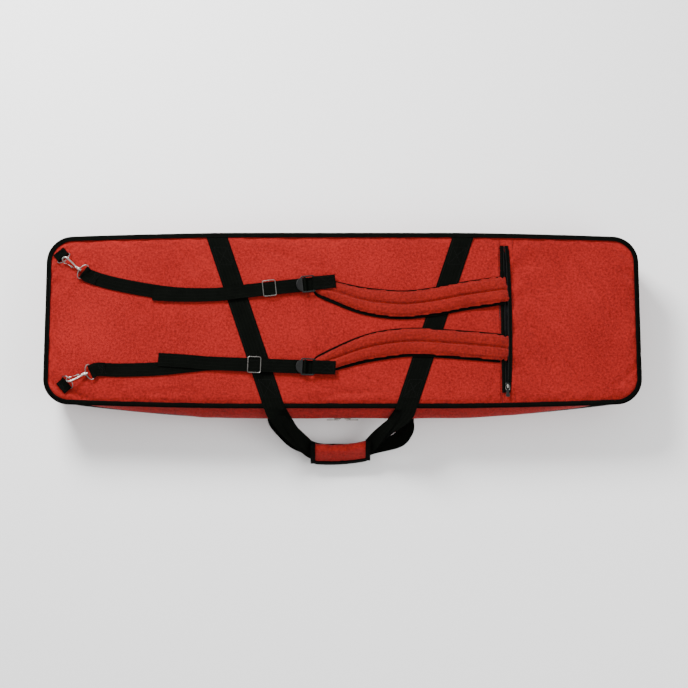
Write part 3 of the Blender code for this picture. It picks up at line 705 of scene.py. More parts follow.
def edge_reach(x, amount, mid=HALF_WIDTH, end=HALF_WIDTH - END_DROP):
    """Half the panel's width at x, with its rounded corners, inside the outline by amount."""
    half_length, radius = HALF_LENGTH - amount, CORNER - amount * 0.7
    reach = half_length - radius
    if abs(x) <= reach:
        return half_width(x, mid - amount, end - amount)
    return end - amount - radius + sqrt(max(0.0, radius**2 - (abs(x) - reach) ** 2))


def row_place(x, v, amount, side):
    """Where a row at v, from -1 to 1, runs across the panel at x."""
    if side == "front" and v < 0:
        return v * edge_reach(x, amount, *FRONT_NEAR)
    return v * edge_reach(x, amount)


def column_places(low, high, pitch, amount):
    """Places along the bag for columns of points, closer together round the corners."""
    radius = CORNER - amount * 0.7
    reach = HALF_LENGTH - amount - radius
    arc = [reach + radius * sin(pi / 2 * i / 12) for i in range(1, 13)]
    start, stop = max(low, -reach), min(high, reach)
    count = int((stop - start) / pitch)
    places = [start + (stop - start) * i / count for i in range(count + 1)]
    if low < -reach:
        places = [-x for x in reversed(arc)] + places
    if high > reach:
        places += arc
    return places


def zip_bow(y):
    """How far the open zip's far edge has sprung away from the near one."""
    t = (y - ZIP_LOW_Y) / (ZIP_HIGH_Y - ZIP_LOW_Y)
    return 0.0 if not 0 < t < 1 else sin(pi * t) ** 0.6


def panel_depth(x, y, side):
    """How far the padded panel's skin lies below its highest level."""
    to_side = abs(row_place(x, 1 if y > 0 else -1, 0.0, side)) - abs(y)
    to_end = HALF_LENGTH - abs(x)
    d = max(0.0, min(to_side, to_end) - BINDING_WIDTH)
    fall, shoulder_width = 0.0022, 0.030
    shoulder = fall * (1 - min(1.0, d / shoulder_width)) ** 2
    swell = 0.0010 * (1 + noise_at(x, y, 1.0 if side == "back" else 5.0, 6))
    ripple = 0.0011 * (0.5 + noise_at(x * 1.4, y, 2.0, 16))
    return shoulder + max(0.0, swell) + max(0.0, ripple)


def crease(x, y, start, end, width, depth):
    """A soft fold line: how far it sinks the skin at a point, with a faint rise to either side."""
    a, b = Vector(start), Vector(end)
    t = clamp((Vector((x, y)) - a).dot(b - a) / (b - a).length_squared)
    away = (Vector((x, y)) - (a + (b - a) * t)).length / width
    return depth * (1 - 1.6 * away**2) * bell(away) * sin(pi * clamp(t * 0.9 + 0.05))


CREASES = (
    ((-0.665, 0.095), (-0.605, 0.165), 0.006, 0.0019),
    ((-0.640, 0.060), (-0.590, 0.130), 0.008, 0.0017),
    ((-0.645, -0.165), (-0.600, -0.190), 0.006, 0.0019),
    ((0.505, -0.150), (0.405, 0.060), 0.015, 0.0030),
    ((0.560, -0.160), (0.480, -0.020), 0.013, 0.0022),
    ((0.640, -0.020), (0.560, 0.130), 0.014, 0.0016),
    ((-0.035, -0.050), (-0.045, 0.185), 0.013, 0.0018),
    ((-0.130, -0.190), (0.110, -0.165), 0.010, 0.0022),
    ((-0.090, -0.150), (0.060, -0.182), 0.009, 0.0019),
    ((0.010, -0.120), (0.130, -0.170), 0.009, 0.0019),
    ((-0.400, 0.190), (-0.330, 0.110), 0.012, 0.0019),
    ((-0.200, 0.180), (-0.050, 0.120), 0.014, 0.0019),
    ((-0.500, -0.180), (-0.350, -0.165), 0.010, 0.0017),
)


def skin(name, xs, rows, side, left_edge=None):
    """One padded panel's cloth as a grid, its rim tucked under the binding."""
    points = []
    up = 1 if side == "back" else -1
    level = PANEL_Z - 0.0001 if side == "back" else 0.0016
    for x0 in xs:
        for j in range(rows + 1):
            v = -cos(pi * j / rows) * 0.35 + (2 * j / rows - 1) * 0.65
            y = row_place(x0, v, TUCK, side)
            x = x0 + (left_edge(x0, y) if left_edge else 0.0)
            points.append((x, y, level - up * max(0.0, panel_depth(x, y, side))))
    return mesh_object(name, points, grid_faces(len(xs) - 1, rows, side == "front"), RED)


def rim(columns, rows):
    ends = list(range(rows + 1)) + list(range((columns - 1) * (rows + 1), columns * (rows + 1)))
    return ends + [i * (rows + 1) + j for i in range(columns) for j in (0, 1, rows - 1, rows)]


def creased(points, side):
    """Fold lines worn into the back face."""
    if side == "back":
        for point in points:
            point[2] -= max(-0.0003, sum(crease(point[0], point[1], *fold) for fold in CREASES))
    return points


def under_load(points, side):
    """Keeps the skin under the webbing that crosses it, and inside the padding's swell."""
    if side == "front":
        points[:, 2] = np.clip(points[:, 2], 0.0017, 0.0060)
        return points
    highest, deepest, margin = PANEL_Z + 0.0013, PANEL_Z - 0.0045, 0.35
    for edge_x, lean in zip(CARRY_EDGE_X, CARRY_LEAN):
        middle = edge_x + lean * (points[:, 1] - CARRY_NEAR_Y)
        away = np.abs(points[:, 0] - middle) / (CARRY_WIDTH / 2)
        press = np.clip(1 + margin - away, 0, margin) / margin
        points[:, 2] = np.minimum(points[:, 2], highest - 0.0013 * press)
    points[:, 2] = np.clip(points[:, 2], deepest, highest)
    return points


def padded_panel(name, xs, rows, side, body, replaced, left_edge=None):
    obj = skin(name, xs, rows, side, left_edge)
    relax_cloth(obj, rim(len(xs), rows), 0.35, 0.0035, -0.012, 8.0)
    set_coordinates(obj, creased(under_load(coordinates(obj), side), side))
    corners = {"levels": 1, "render_levels": 1, "boundary_smooth": "PRESERVE_CORNERS"}
    settled(obj, ("SUBSURF", corners), thickened(0.0016))
    placed(obj, body, "red_fabric", *replaced)


def mouth_edge(x, y):
    """The pocket panel's near edge steps back to leave the zip's mouth open."""
    fade = max(0.0, 1 - (x - POCKET_X) / 0.055)
    t = clamp((y - ZIP_LOW_Y) / 0.012) * clamp((ZIP_HIGH_Y - y) / 0.012)
    return fade * t * (0.0135 + 0.0065 * zip_bow(y))


def panels():
    low, high = -(HALF_LENGTH - TUCK), HALF_LENGTH - TUCK
    pitch, rows = 0.0066, 62
    main = column_places(low, POCKET_X - 0.0005, pitch, TUCK)
    padded_panel("back_panel_cloth", main, rows, "back", "back_shell", ("back_panel", "back_foam"))
    pocket = column_places(POCKET_X - 0.0003, high, pitch, TUCK)
    padded_panel("pocket_panel_cloth", pocket, rows, "back", "back_shell", ("pocket_panel",), mouth_edge)
    front = column_places(low, high, 0.010, TUCK)
    padded_panel("front_panel_cloth", front, 44, "front", "front_shell", ("front_panel", "front_foam"))
    lining("back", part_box("back_lining")[0][2], -1)
    lining("front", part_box("front_lining")[1][2], 1)


def lining(side, z, up):
    """The inside face: quilted nylon over the padding, stitched in long diamonds."""
    xs = column_places(-HALF_LENGTH + LINING_INSET, HALF_LENGTH - LINING_INSET, 0.010, LINING_INSET)
    rows, diamond = 40, 0.11
    points = []
    for x in xs:
        for j in range(rows + 1):
            y = row_place(x, 2 * j / rows - 1, LINING_INSET, side)
            quilt = abs(sin(pi * (x + y) / diamond)) * abs(sin(pi * (x - y) / diamond))
            points.append((x, y, z - up * 0.0010 + up * 0.0042 * quilt**0.6))
    obj = mesh_object(f"{side}_lining_quilt", points, grid_faces(len(xs) - 1, rows, up < 0), LINING)
    settled(obj, thickened(0.0012), SMOOTHER)
    placed(obj, f"{side}_shell", "lining", f"{side}_lining")


# Side walls and the main zip


def wall(side):
    """The padded gusset: bowed between the binding and the zip, softly rumpled, lined inside."""
    up = 1 if side == "back" else -1
    seam_z = PANEL_Z - 0.0035 if side == "back" else 0.0048
    rim_z = ZIP_Z + up * 0.0012
    steps = 9
    rings = []
    for k in range(steps + 1):
        share = k / steps
        bulge = sin(pi / 2 * min(1.0, share * 1.25)) ** 0.8
        line = wall_line(bulge, 0.0, side)
        ways = outward(line)
        z = seam_z + (rim_z - seam_z) * share
        fade = sin(pi * share) ** 0.7
        ring = []
        for p, way in zip(line, ways):
            puff = 0.0024 * noise_at(p.x, p.y, z, 9) + wall_fold(p.x, p.y, z)
            if p.y < 0 and side == "back":
                swell = max(0.0, 1 - abs(p.x / BULGE_REACH) ** 4)
                puff += NEAR_BULGE * swell * sin(pi * min(1.0, share * 1.06)) ** 1.2
            place = p + way * (puff - 0.0008) * fade
            ring.append(at_height(place, z))
        rings.append(ring)
    count = len(rings[0])
    inner = [[p - way * WALL_DEPTH for p, way in zip(ring, outward(ring))] for ring in reversed(rings)]
    points = [p for ring in rings + inner for p in ring]
    faces = ring_faces(2 * (steps + 1), count, closed_path=True)
    if side == "front":
        faces = [tuple(reversed(face)) for face in faces]
    obj = mesh_object(f"{side}_wall_cloth", points, faces, RED)
    obj.data.materials.append(LINING)
    slots = [1 if min(face) >= (steps + 1) * count else 0 for face in faces]
    obj.data.polygons.foreach_set("material_index", slots)
    settled(obj, SMOOTHER)
    placed(obj, f"{side}_shell", "red_fabric", f"{side}_wall")


def wall_fold(x, y, z):
    """Soft upright creases, with lengthways ripples between them."""
    upright = noise_at(x + 0.3 * z, y, 4.0, 17)
    ripple = noise_at(x * 0.35, y * 0.35, z * 2.6 + 9.0, 15)
    return 0.0020 * (abs(upright) ** 0.7 - 0.4) + 0.0022 * (abs(ripple) ** 0.8 - 0.3)


def zip_run(out):
    """The main zip's line, from one end of the fabric hinge round to the other."""
    line = wall_line(1.0, out)
    start = next(i for i, p in enumerate(line) if p.y > 0 and p.x < -HALF_LENGTH + 0.030)
    stop = next(i for i, p in enumerate(line) if p.x > HALF_LENGTH - 0.030)
    return line[start:] + line[:stop]


def teeth(name, path, ways, pitch=0.0026, size=(0.0015, 0.0026, 0.0014)):
    """Zip coil turns: small rounded blocks that reach in from the tape towards the middle."""
    points, faces = [], []
    spans = spans_of(path)
    total = sum(spans)
    count = int(total / pitch)
    index, travelled = 0, 0.0
    corners = [(-1, -1, -1), (1, -1, -1), (1, 1, -1), (-1, 1, -1)]
    corners += [(-0.7, -0.8, 1), (0.7, -0.8, 1), (0.7, 0.8, 1), (-0.7, 0.8, 1)]
    cube = ((3, 2, 1, 0), (4, 5, 6, 7), (0, 1, 5, 4), (1, 2, 6, 5), (2, 3, 7, 6), (3, 0, 4, 7))
    for k in range(count):
        reach = (k + 0.5) * pitch
        while index < len(spans) - 1 and reach > travelled + spans[index]:
            travelled += spans[index]
            index += 1
        share = (reach - travelled) / spans[index]
        place = path[index].lerp(path[index + 1], share)
        along = (path[index + 1] - path[index]).normalized()
        out = ways[index].normalized()
        across = out.cross(along)
        base = len(points)
        for a, b, c in corners:
            points.append(place + along * a * size[0] / 2 + across * b * size[1] / 2 + out * c * size[2] / 2)
        faces += [tuple(base + i for i in face) for face in cube]
    return mesh_object(name, points, faces, COIL, sharp=30)


def main_zip(side):
    up = 1 if side == "back" else -1
    run = zip_run(0.0010)
    ways = outward(run)
    ways[0], ways[-1] = ways[1], ways[-2]
    tape_rise, coil_rise, thread_rise = 0.0068, 0.0015, 0.0105
    path = [at_height(p, ZIP_Z + up * tape_rise) for p in run]
    tape = sweep(f"{side}_zip_tape_cloth", path, [UP] * len(path), band(0.0122, 0.0011), TAPE)
    coil_path = [at_height(p, ZIP_Z + up * coil_rise) + way * 0.0014 for p, way in zip(run, ways)]
    coil = teeth(f"{side}_zip_teeth", coil_path, ways)
    line = [at_height(p, ZIP_Z + up * thread_rise) + way * 0.0007 for p, way in zip(run, ways)]
    thread = stitches(f"{side}_zip_stitches", [line], 0.0044, 0.0030, normal=(0, 0, 1))
    for piece, slot in ((tape, "black_webbing"), (coil, "black_plastic"), (thread, "black_webbing")):
        placed(piece, f"{side}_shell", slot)
    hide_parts(f"{side}_zip_tape")
    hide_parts(f"{side}_zip_coil")
    zip_ends(side, run, ways)


def zip_ends(side, run, ways):
    """A sewn patch over each end of the zip's tape."""
    up = 1 if side == "back" else -1
    points, patch_length, overlap = 12, 0.030, 0.006
    for word, order in (("left", range(points)), ("right", range(len(run) - 1, len(run) - points - 1, -1))):
        path = [run[i] + ways[i] * 0.0016 + Vector((0, 0, ZIP_Z + up * 0.0072)) for i in order]
        total, kept = 0.0, [path[0]]
        for a, b in zip(path, path[1:]):
            total += (b - a).length
            if total < patch_length:
                kept.append(b)
        begin = kept[0] + (kept[0] - kept[1]).normalized() * overlap
        kept = [begin] + kept
        patch = web(f"{side}_zip_patch_{word}", kept, 0.0138, 0.0014, BLACK, [UP] * len(kept))
        placed(patch, f"{side}_shell", "black_webbing")


def hinge_fold():
    """The gusset cloth that runs unbroken across the hinge, and the tape sewn below the fold."""
    line = [p for p in wall_line(1.0, 0.0006) if p.y > 0.1 and abs(p.x) < REACH]
    path = [at_height(p, ZIP_Z) for p in line]
    strip = sweep("hinge_fold_cloth", path, [UP] * len(path), wide_band(0.030, 0.0012, 14), RED)
    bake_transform(strip)
    tape_path = [at_height(p, ZIP_Z - 0.0125) + Vector((0, 0.0008, 0)) for p in line]
    tape = sweep("hinge_tape_cloth", tape_path, [UP] * len(path), band(0.0090, 0.0009), TAPE)
    placed(tape, "front_shell", "black_webbing", "hinge_tape")


def wide_band(width, thickness, count):
    half, deep = width / 2, thickness / 2
    top = [(half - width * i / count, deep) for i in range(count + 1)]
    return top + [(-a, -b) for a, b in top]


# Carrying webbing and handles


def carry_path(hand, face):
    """The webbing's middle line from the far edge, over the panel and the binding."""
    edge_x, lean = CARRY_EDGE_X[hand], CARRY_LEAN[hand]
    path = []
    count, binding_y, ramp = 60, 0.190, 0.009
    start = CARRY_FAR_Y + 0.0075
    for i in range(count + 1):
        y = start + (CARRY_NEAR_Y - start) * i / count
        ride = 0.0004 * noise_at(y, hand, 0.5, 30)
        near = clamp((abs(y) - binding_y) / ramp)
        if face == "back":
            step = 0.0010 if y < 0 else -0.0022
            z = PANEL_Z + 0.0011 + step * near + abs(ride) * (1 - near)
        else:
            z = 0.0014 + (0.0016 * near if y > 0 else 0.0)
        path.append(Vector((edge_x + lean * (y - CARRY_NEAR_Y), y, z)))
    return path


def leg_path(hand, side):
    """From the bag's edge down to the grip: the back one into its end, and the front one below it."""
    middle = GRIP_MIDDLE
    inward = INWARD[hand]
    grip_x = middle.x - inward * GRIP_HALF
    edge_x = CARRY_EDGE_X[hand]
    root = Vector(JOINTS[f"{side}_handle_lift"]["pos_m"])
    if side == "back":
        tip = Vector((grip_x, middle.y + 0.0075, middle.z + 0.0070)) + grip_tilt(grip_x)
        start = Vector((edge_x, root.y - 0.0005, root.z + 0.0006))
        over = start + Vector((inward * 0.0085, -0.0120, -0.0068))
        bow = Vector((0.004 * inward * (hand * 2 - 1), -0.003, 0.003))
        spans = [over.lerp(tip, share) + bow * sin(pi * share) for share in (0, 0.35, 0.7, 1)]
        return [start] + spans + [tip + Vector((inward * 0.016, -0.0030, -0.0030))]
    reach = middle.y + FRONT_LOOP_RISE
    return [
        Vector((edge_x, root.y - 0.001, root.z + 0.0002)),
        Vector((edge_x + inward * (0.005, 0.000)[hand], root.y - 0.014, root.z + 0.0006)),
        Vector((edge_x + inward * (0.020, -0.002)[hand], root.y - 0.034, root.z + 0.0014)),
        Vector((edge_x + inward * (0.043, 0.016)[hand], root.y - 0.059, root.z + 0.0024)),
        Vector((grip_x - inward * 0.010, reach + 0.010, root.z + 0.0034)),
        Vector((grip_x + inward * 0.022, reach + 0.001, root.z + 0.0040)),
        Vector((middle.x, reach, root.z + 0.0040)),
    ]


def grip_tilt(x):
    """The grip's right end sits nearer the bag than its left."""
    return Vector((0, 1, 0.3)) * 0.055 * (x + 0.005)


def handle_webs():
    """Each webbing is one piece from the panel to the grip, swept in one fixed shape past the bag's edge."""
    for face in ("back", "front"):
        body, shell = f"{face}_handle", f"{face}_shell"
        joint = JOINTS[f"{face}_handle_lift"]["pos_m"]
        for hand, word in enumerate(("left", "right")):
            flat = carry_path(hand, face)
            leg = smooth_path(leg_path(hand, face), 10)
            path = flat[:-1] + leg
            across = CARRY_WIDTH * sqrt(1 + CARRY_LEAN[hand] ** 2)
            widths = [across] * len(flat[:-1]) + leg_widths(leg, face, hand)
            sides = web_sides(path, len(flat))
            obj = web(f"{face}_carry_webbing_{word}", path, widths, WEB, BLACK, sides)
            reach = Vector((0, 0.010, 0.0)), Vector((0, -0.012, -0.010 if face == "back" else 0.0))
            Vector(joint) + reach[0]
            Vector(joint) + reach[1]
            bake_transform(obj)
            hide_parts(f"{face}_carry_web_{word}")
            if word == "left":
                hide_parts(f"{face}_handle_web")
            carry_threads(face, hand, word, shell)
            if face == "back":
                fold_layer(word, leg, hand)


def leg_widths(leg, face, hand):
    """Full width at the bag, bunched to about two-thirds where the grip holds it."""
    bunched = (0.031, 0.022)[hand] if face == "back" else 0.034
    count = len(leg) - 1
    made = []
    for i in range(count + 1):
        t = clamp((i / count - 0.10) / (0.70 - 0.20 * hand))
        made.append(CARRY_WIDTH + (bunched - CARRY_WIDTH) * t * t * (3 - 2 * t))
    return made


def web_sides(path, flat_count):
    """Which way runs across the webbing: along the bag on the panel, and square to the leg after it."""
    made = []
    for i, way in enumerate(tangents(path)):
        level = UP.cross(way)
        side = level.normalized() if level.length > 0.2 else made[-1]
        share = clamp((i - flat_count + 1) / 9)
        made.append((ALONG * (1 - share) + side * share).normalized())
    return made


def fold_layer(word, leg, hand):
    """The second layer of the leg, which shows as a ridge beside the first."""
    inward = INWARD[hand]
    path = [p + Vector((inward * 0.0060, 0.0030, 0.0024)) for p in leg[12:]]
    widths = [0.008 + 0.022 * sin(pi * (0.08 + 0.75 * i / (len(path) - 1))) for i in range(len(path))]
    obj = web(f"back_leg_fold_{word}", path, widths, WEB, BLACK, web_sides(path, 0))
    placed(obj, "back_handle", "black_webbing")


def carry_threads(face, hand, word, shell):
    """Stitching down both edges, and a cross-stitched box near each end."""
    path = carry_path(hand, face)
    up = 1 if face == "back" else -1
    lift = Vector((0, 0, up * (WEB / 2 + 0.0001)))
    lines = []
    for sign in (-1, 1):
        lines.append([p + Vector((sign * (CARRY_WIDTH / 2 - 0.0035), 0, 0)) + lift for p in path[1:-3]])
    for start in (4, 50):
        a, b = path[start], path[start + 6]
        lines += box_cross(a, b, Vector((CARRY_WIDTH / 2 - 0.008, 0, 0)), lift)
    obj = stitches(f"{face}_carry_stitches_{word}", lines, normal=(0, 0, up))
    placed(obj, shell, "black_webbing")


def grip_point(t, a, b):
    """A point t along the grip, a out along its slope and b up from it; the ends curve up."""
    reach = t * GRIP_HALF
    tilt = grip_tilt(GRIP_MIDDLE.x + reach)
    middle = GRIP_MIDDLE + Vector((reach, 0, 0)) + tilt - GRIP_OUT * 0.0070 * t * t
    return middle + GRIP_OUT * a + GRIP_UP * b


def oval(a, wide, deep):
    return wide * signed_power(cos(a), 0.8), deep * signed_power(sin(a), 0.85)


def grip():
    """The padded wrap: a plump sleeve, dished between its bound ends, with a bound closing edge."""
    rings, count = 46, 28
    points = []
    for i in range(rings + 1):
        t = 2 * i / rings - 1
        pinch = 0.96 - 0.06 * (1 - abs(t)) - 0.06 * max(0.0, (abs(t) - 0.88) / 0.12) ** 2
        for turn in full_turn(count):
            a, b = oval(turn, GRIP_WIDE * pinch, GRIP_DEEP * pinch)
            points.append(grip_point(t * 0.985, a, b))
    sleeve = mesh_object("handle_grip_wrap", points, ring_faces(rings + 1, count), RED)
    remeshed(sleeve, 0.0032)
    relax_cloth(sleeve, [], 4.0, 0.0012)
    settled(sleeve, SMOOTHER)
    crumple(sleeve)
    placed(sleeve, "back_handle", "red_fabric", "handle_grip")
    grip_trim()


def crumple(sleeve):
    """Creases across the wrap, where it has been gripped."""
    points = coordinates(sleeve)
    for i, p in enumerate(points):
        t = (p[0] - GRIP_MIDDLE.x) / GRIP_HALF
        away = (Vector(p) - GRIP_MIDDLE).dot(GRIP_OUT)
        wave = sin(t * 13 + 2.6 * noise_at(t, away * 20, 0, 2.0) + away * 50)
        fold = 0.055 * max(0.0, wave) ** 3 * max(0.0, 1 - t * t)
        shrink = 1 - fold - 0.02 * noise_at(t * 6, away * 60, 3, 1.0)
        middle = np.array(grip_point(t, 0, 0))
        points[i] = middle + (p - middle) * shrink
    set_coordinates(sleeve, points)


def grip_trim():
    """Black binding round both ends and over the closing edge."""
    parts = []
    for sign in (-1, 1):
        section = [oval(a, GRIP_WIDE - 0.0010, GRIP_DEEP + 0.0004) for a in full_turn(40)]
        ring = [grip_point(sign * 0.925, *point) for point in section]
        parts.append(sweep("end", ring, [ALONG] * len(ring), band(0.0115, 0.0032, 0.9), TAPE, closed=True))
    line = [grip_point(t / 16 * 0.985, 0, 0) for t in range(-16, 17)]
    angles = [radians(-66 + 132 / 12 * i) for i in range(13)]
    lip = [oval(a, GRIP_WIDE + 0.0020, GRIP_DEEP + 0.0026) for a in angles]
    lip += [oval(a, GRIP_WIDE - 0.0016, GRIP_DEEP - 0.0010) for a in reversed(angles)]

    def rounded(i):
        shrink = 1 - 0.16 * max(0.0, (abs(i - 16) - 12.5) / 3.5) ** 2
        return [(a * shrink, b * (0.4 + 0.6 * shrink)) for a, b in lip]

    parts.append(sweep("edge", line, [GRIP_OUT] * len(line), rounded, TAPE))
    trim = merged("handle_grip_binding", parts)
    placed(trim, "back_handle", "black_webbing")


# The pocket zip


def pocket_zip():
    """The open mouth: a straight near tape, a sprung far tape, their coils, and the well behind them."""
    ys = [ZIP_LOW_Y - 0.006 + (ZIP_HIGH_Y - ZIP_LOW_Y + 0.012) * i / 70 for i in range(71)]
    top = PANEL_Z + 0.0003
    near = [Vector((POCKET_X + 0.0030, y, top)) for y in ys]
    far = [Vector((MOUTH_X + 0.0030 + 0.0062 * zip_bow(y), y, top + 0.0008 * zip_bow(y))) for y in ys]
    across = [ALONG] * len(ys)
    for name, path, coil_side in (("left", near, 1), ("right", far, -1)):
        tape = sweep(f"pocket_zip_cloth_{name}", path, across, band(0.0088, 0.0011), TAPE)
        coil_path = [p + Vector((coil_side * 0.0042, 0, 0.0006 - under_pads(p.y, coil_side))) for p in path]
        coil = teeth(f"pocket_zip_teeth_{name}", coil_path, [UP] * len(path))
        edge = [p + Vector((-coil_side * 0.0022, 0, 0.0007)) for p in path]
        thread = stitches(f"pocket_zip_stitches_{name}", [edge])
        for piece, slot in ((tape, "black_webbing"), (coil, "black_plastic"), (thread, "black_webbing")):
            placed(piece, "back_shell", slot)
        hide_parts(f"pocket_zip_tape_{name}")
    seam_threads()
    well()


def under_pads(y, coil_side):
    """How far the near coil is pressed down where the shoulder pads come out over it."""
    roots = (strap["pad"][0][1] for strap in STRAPS.values())
    away = min(abs(y - root) for root in roots)
    return 0.0026 * clamp((0.046 - away) / 0.008) if coil_side > 0 else 0.0


def seam_threads():
    """Rows of stitching beside the pocket's zip, and where its seam runs on to the bindings."""
    lines = []
    for x in (POCKET_X - 0.0050, POCKET_X + 0.0285):
        lines.append([Vector((x, -0.192 + 0.384 * i / 60, PANEL_Z - 0.0002)) for i in range(61)])
    obj = stitches("pocket_seam_stitches", lines, 0.0040, 0.0028, 0.00034, SEAM_RED)
    placed(obj, "back_shell", "red_fabric")


def well():
    """The black pocket cloth seen down through the mouth, with the straps' sewn ends."""
    low, high = Vector((POCKET_X - 0.004, ZIP_LOW_Y - 0.004, 0)), Vector((0.470, ZIP_HIGH_Y + 0.004, 0))
    deep, rise = PANEL_Z - 0.0085, PANEL_Z - 0.0021
    points = []
    columns, rows = 24, 60
    for i in range(columns + 1):
        for j in range(rows + 1):
            u, v = i / columns, j / rows
            near_side = max(0.0, 1 - 2 * u) ** 10
            wall_share = max(near_side, abs(2 * v - 1) ** 40 * max(0.0, 1 - u * 3))
            x, y = low.x + (high.x - low.x) * u, low.y + (high.y - low.y) * v
            points.append((x, y, deep + (rise - deep) * wall_share + 0.0004 * noise_at(x, y, 0, 60)))
    cloth = mesh_object("pocket_well_cloth", points, grid_faces(columns, rows), LINING)
    settled(cloth, thickened(0.0008))
    placed(cloth, "back_shell", "lining")
    for tag in STRAPS:
        node_low, node_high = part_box(f"strap_anchor_{tag}")
        y = (node_low[1] + node_high[1]) / 2
        xs = [node_low[0] + (node_high[0] - node_low[0]) * i / 10 for i in range(11)]
        path = [Vector((x, y, node_low[2] - 0.0012)) for x in xs]
        anchor = web(f"strap_anchor_web_{tag}", path, node_high[1] - node_low[1], 0.0014, BLACK)
        placed(anchor, "back_shell", "black_webbing", f"strap_anchor_{tag}")


def slider(name, axis, along, up, body, pull_body, node_slider, node_pull, finish=STEEL):
    """A cast slider with a domed back and bridge, and a waisted pull on a wire loop."""
    centre = Vector(axis) - up * PULL_HEIGHT
    across = up.cross(along)

    def place(a, b, c):
        return centre + along * a + across * b + up * c

    shape = [(-0.008, 0.0035), (-0.0065, 0.0050), (0.0, 0.0054), (0.0060, 0.0049), (0.0078, 0.0030)]
    shape = shape + [(a, -b) for a, b in reversed(shape)]
    rings = []
    for c, grow in ((0.0, 0.90), (0.0005, 1.0), (0.0015, 1.0), (0.0021, 0.88)):
        rings.append([place(a * grow, b * grow, c) for a, b in shape])
    block = slab("block", rings, finish)
    rise = [(-0.0040, 0.0015), (-0.0038, 0.0038), (-0.0018, 0.0045)]
    arch = [place(a, 0, c) for a, c in rise + [(-a, c) for a, c in reversed(rise)]]
    bridge = sweep("bridge", smooth_path(arch, 4), [across] * 21, band(0.0032, 0.0010, 0.9), STEEL)
    obj = merged(name + "_casting", [block, bridge])
    placed(obj, body, "nickel_steel", node_slider)
    pull(name, place, pull_body, node_pull, finish)


def slab(name, rings, finish):
    """A small casting, from its outline at each level."""
    points = [p for ring in rings for p in ring]
    return mesh_object(name, points, ring_faces(len(rings), len(rings[0])), finish, sharp=40)


def pull(name, place, body, replaced, finish):
    half_loop = [(0, 0.0046), (0.0060, 0.0048), (0.0085, 0.0040)]
    loop = [(0, -0.0046)] + half_loop + [(0.0085, -0.0040), (0.0060, -0.0048)]
    loop = [place(a, b, PULL_HEIGHT) for a, b in loop]
    wire = tube("wire", loop, 0.00062, STEEL, closed=True, sides=8)
    outer = [(0.0078, 0.0026), (0.0105, 0.0036), (0.0150, 0.0029), (0.0215, 0.0050), (0.0245, 0.0044),
             (0.0255, 0.0020)]
    outer = outer + [(a, -b) for a, b in reversed(outer)]
    layers = ((-0.0007, 0.9), (-0.0004, 1), (0.0004, 1), (0.0007, 0.9))
    rings = [[place(a, b * s, PULL_HEIGHT + c) for a, b in outer] for c, s in layers]
    tab = slab("tab", rings, finish)
    obj = merged(name + "_tab", [wire, tab])
    placed(obj, body, "nickel_steel", replaced)


def sliders():
    out = Vector((0, -1, 0))
    for hand, sign in (("left", -1), ("right", 1)):
        axis = JOINTS[f"{hand}_pull_flip"]["pos_m"]
        slider(f"zip_{hand}", axis, Vector((sign, 0, 0)), out, f"{hand}_slider", f"{hand}_pull",
               f"zip_{hand}_slider", f"zip_{hand}_pull")
    axis = JOINTS["pocket_pull_flip"]["pos_m"]
    slider("pocket_zip", axis, Vector((0, -1, 0)), UP, "pocket_slider_body", "pocket_pull_body",
           "pocket_slider", "pocket_pull", ENAMEL)


# Shoulder straps


def frame_of(tag):
    """The place of the strap's buckle bar, the way the strap runs there, and the bar's axis."""
    bar = Vector(JOINTS[f"buckle_turn_{tag}"]["pos_m"])
    axis = -Vector(JOINTS[f"buckle_turn_{tag}"]["axis"])
    heading = Vector((axis.y, -axis.x, 0))
    return bar, heading, axis


def pad(tag, strap):
    """A padded strap of two stuffed channels, dished at the seam and drawn flat under its tab."""
    path = smooth_path([(*p, 0.0) for p in strap["pad"]], 12)
    ways = tangents(path)
    count = len(path) - 1
    ring, points = 26, []
    for i, (p, way) in enumerate(zip(path, ways)):
        side = UP.cross(way).normalized()
        half, low, high = pad_section(i / count)
        for a in full_turn(ring):
            across = half * signed_power(cos(a), 0.75)
            z = (low + high) / 2 + (high - low) / 2 * signed_power(sin(a), 0.8)
            points.append(p + side * across + Vector((0, 0, z)))
    obj = mesh_object(f"shoulder_pad_cloth_{tag}", points, ring_faces(len(path), ring), PAD_RED)
    remeshed(obj, 0.0042)
    relax_cloth(obj, [], 4.0, 0.0020)
    settled(obj, SMOOTHER)
    channels(obj, path, ways, tag)
    placed(obj, f"pad_{tag}", "red_fabric", f"shoulder_pad_{tag}")
    pad_underside(tag, path)


def pad_section(t):
    """Half-width, underside and top of the pad, from its root in the pocket (0) to its tab (1)."""
    dive = max(0.0, 1 - t / 0.085) ** 1.5
    taper = max(0.0, (t - 0.64) / 0.36)
    tip = max(0.0, (t - 0.955) / 0.045) ** 2
    half = (0.0340 - 0.0140 * taper**1.3 - 0.002 * dive) * sqrt(1 - 0.75 * tip)
    high = PANEL_Z + 0.0115 - 0.0112 * dive - 0.0025 * taper - 0.0042 * tip
    low = PANEL_Z + 0.0030 - 0.0068 * dive
    return half, low, high


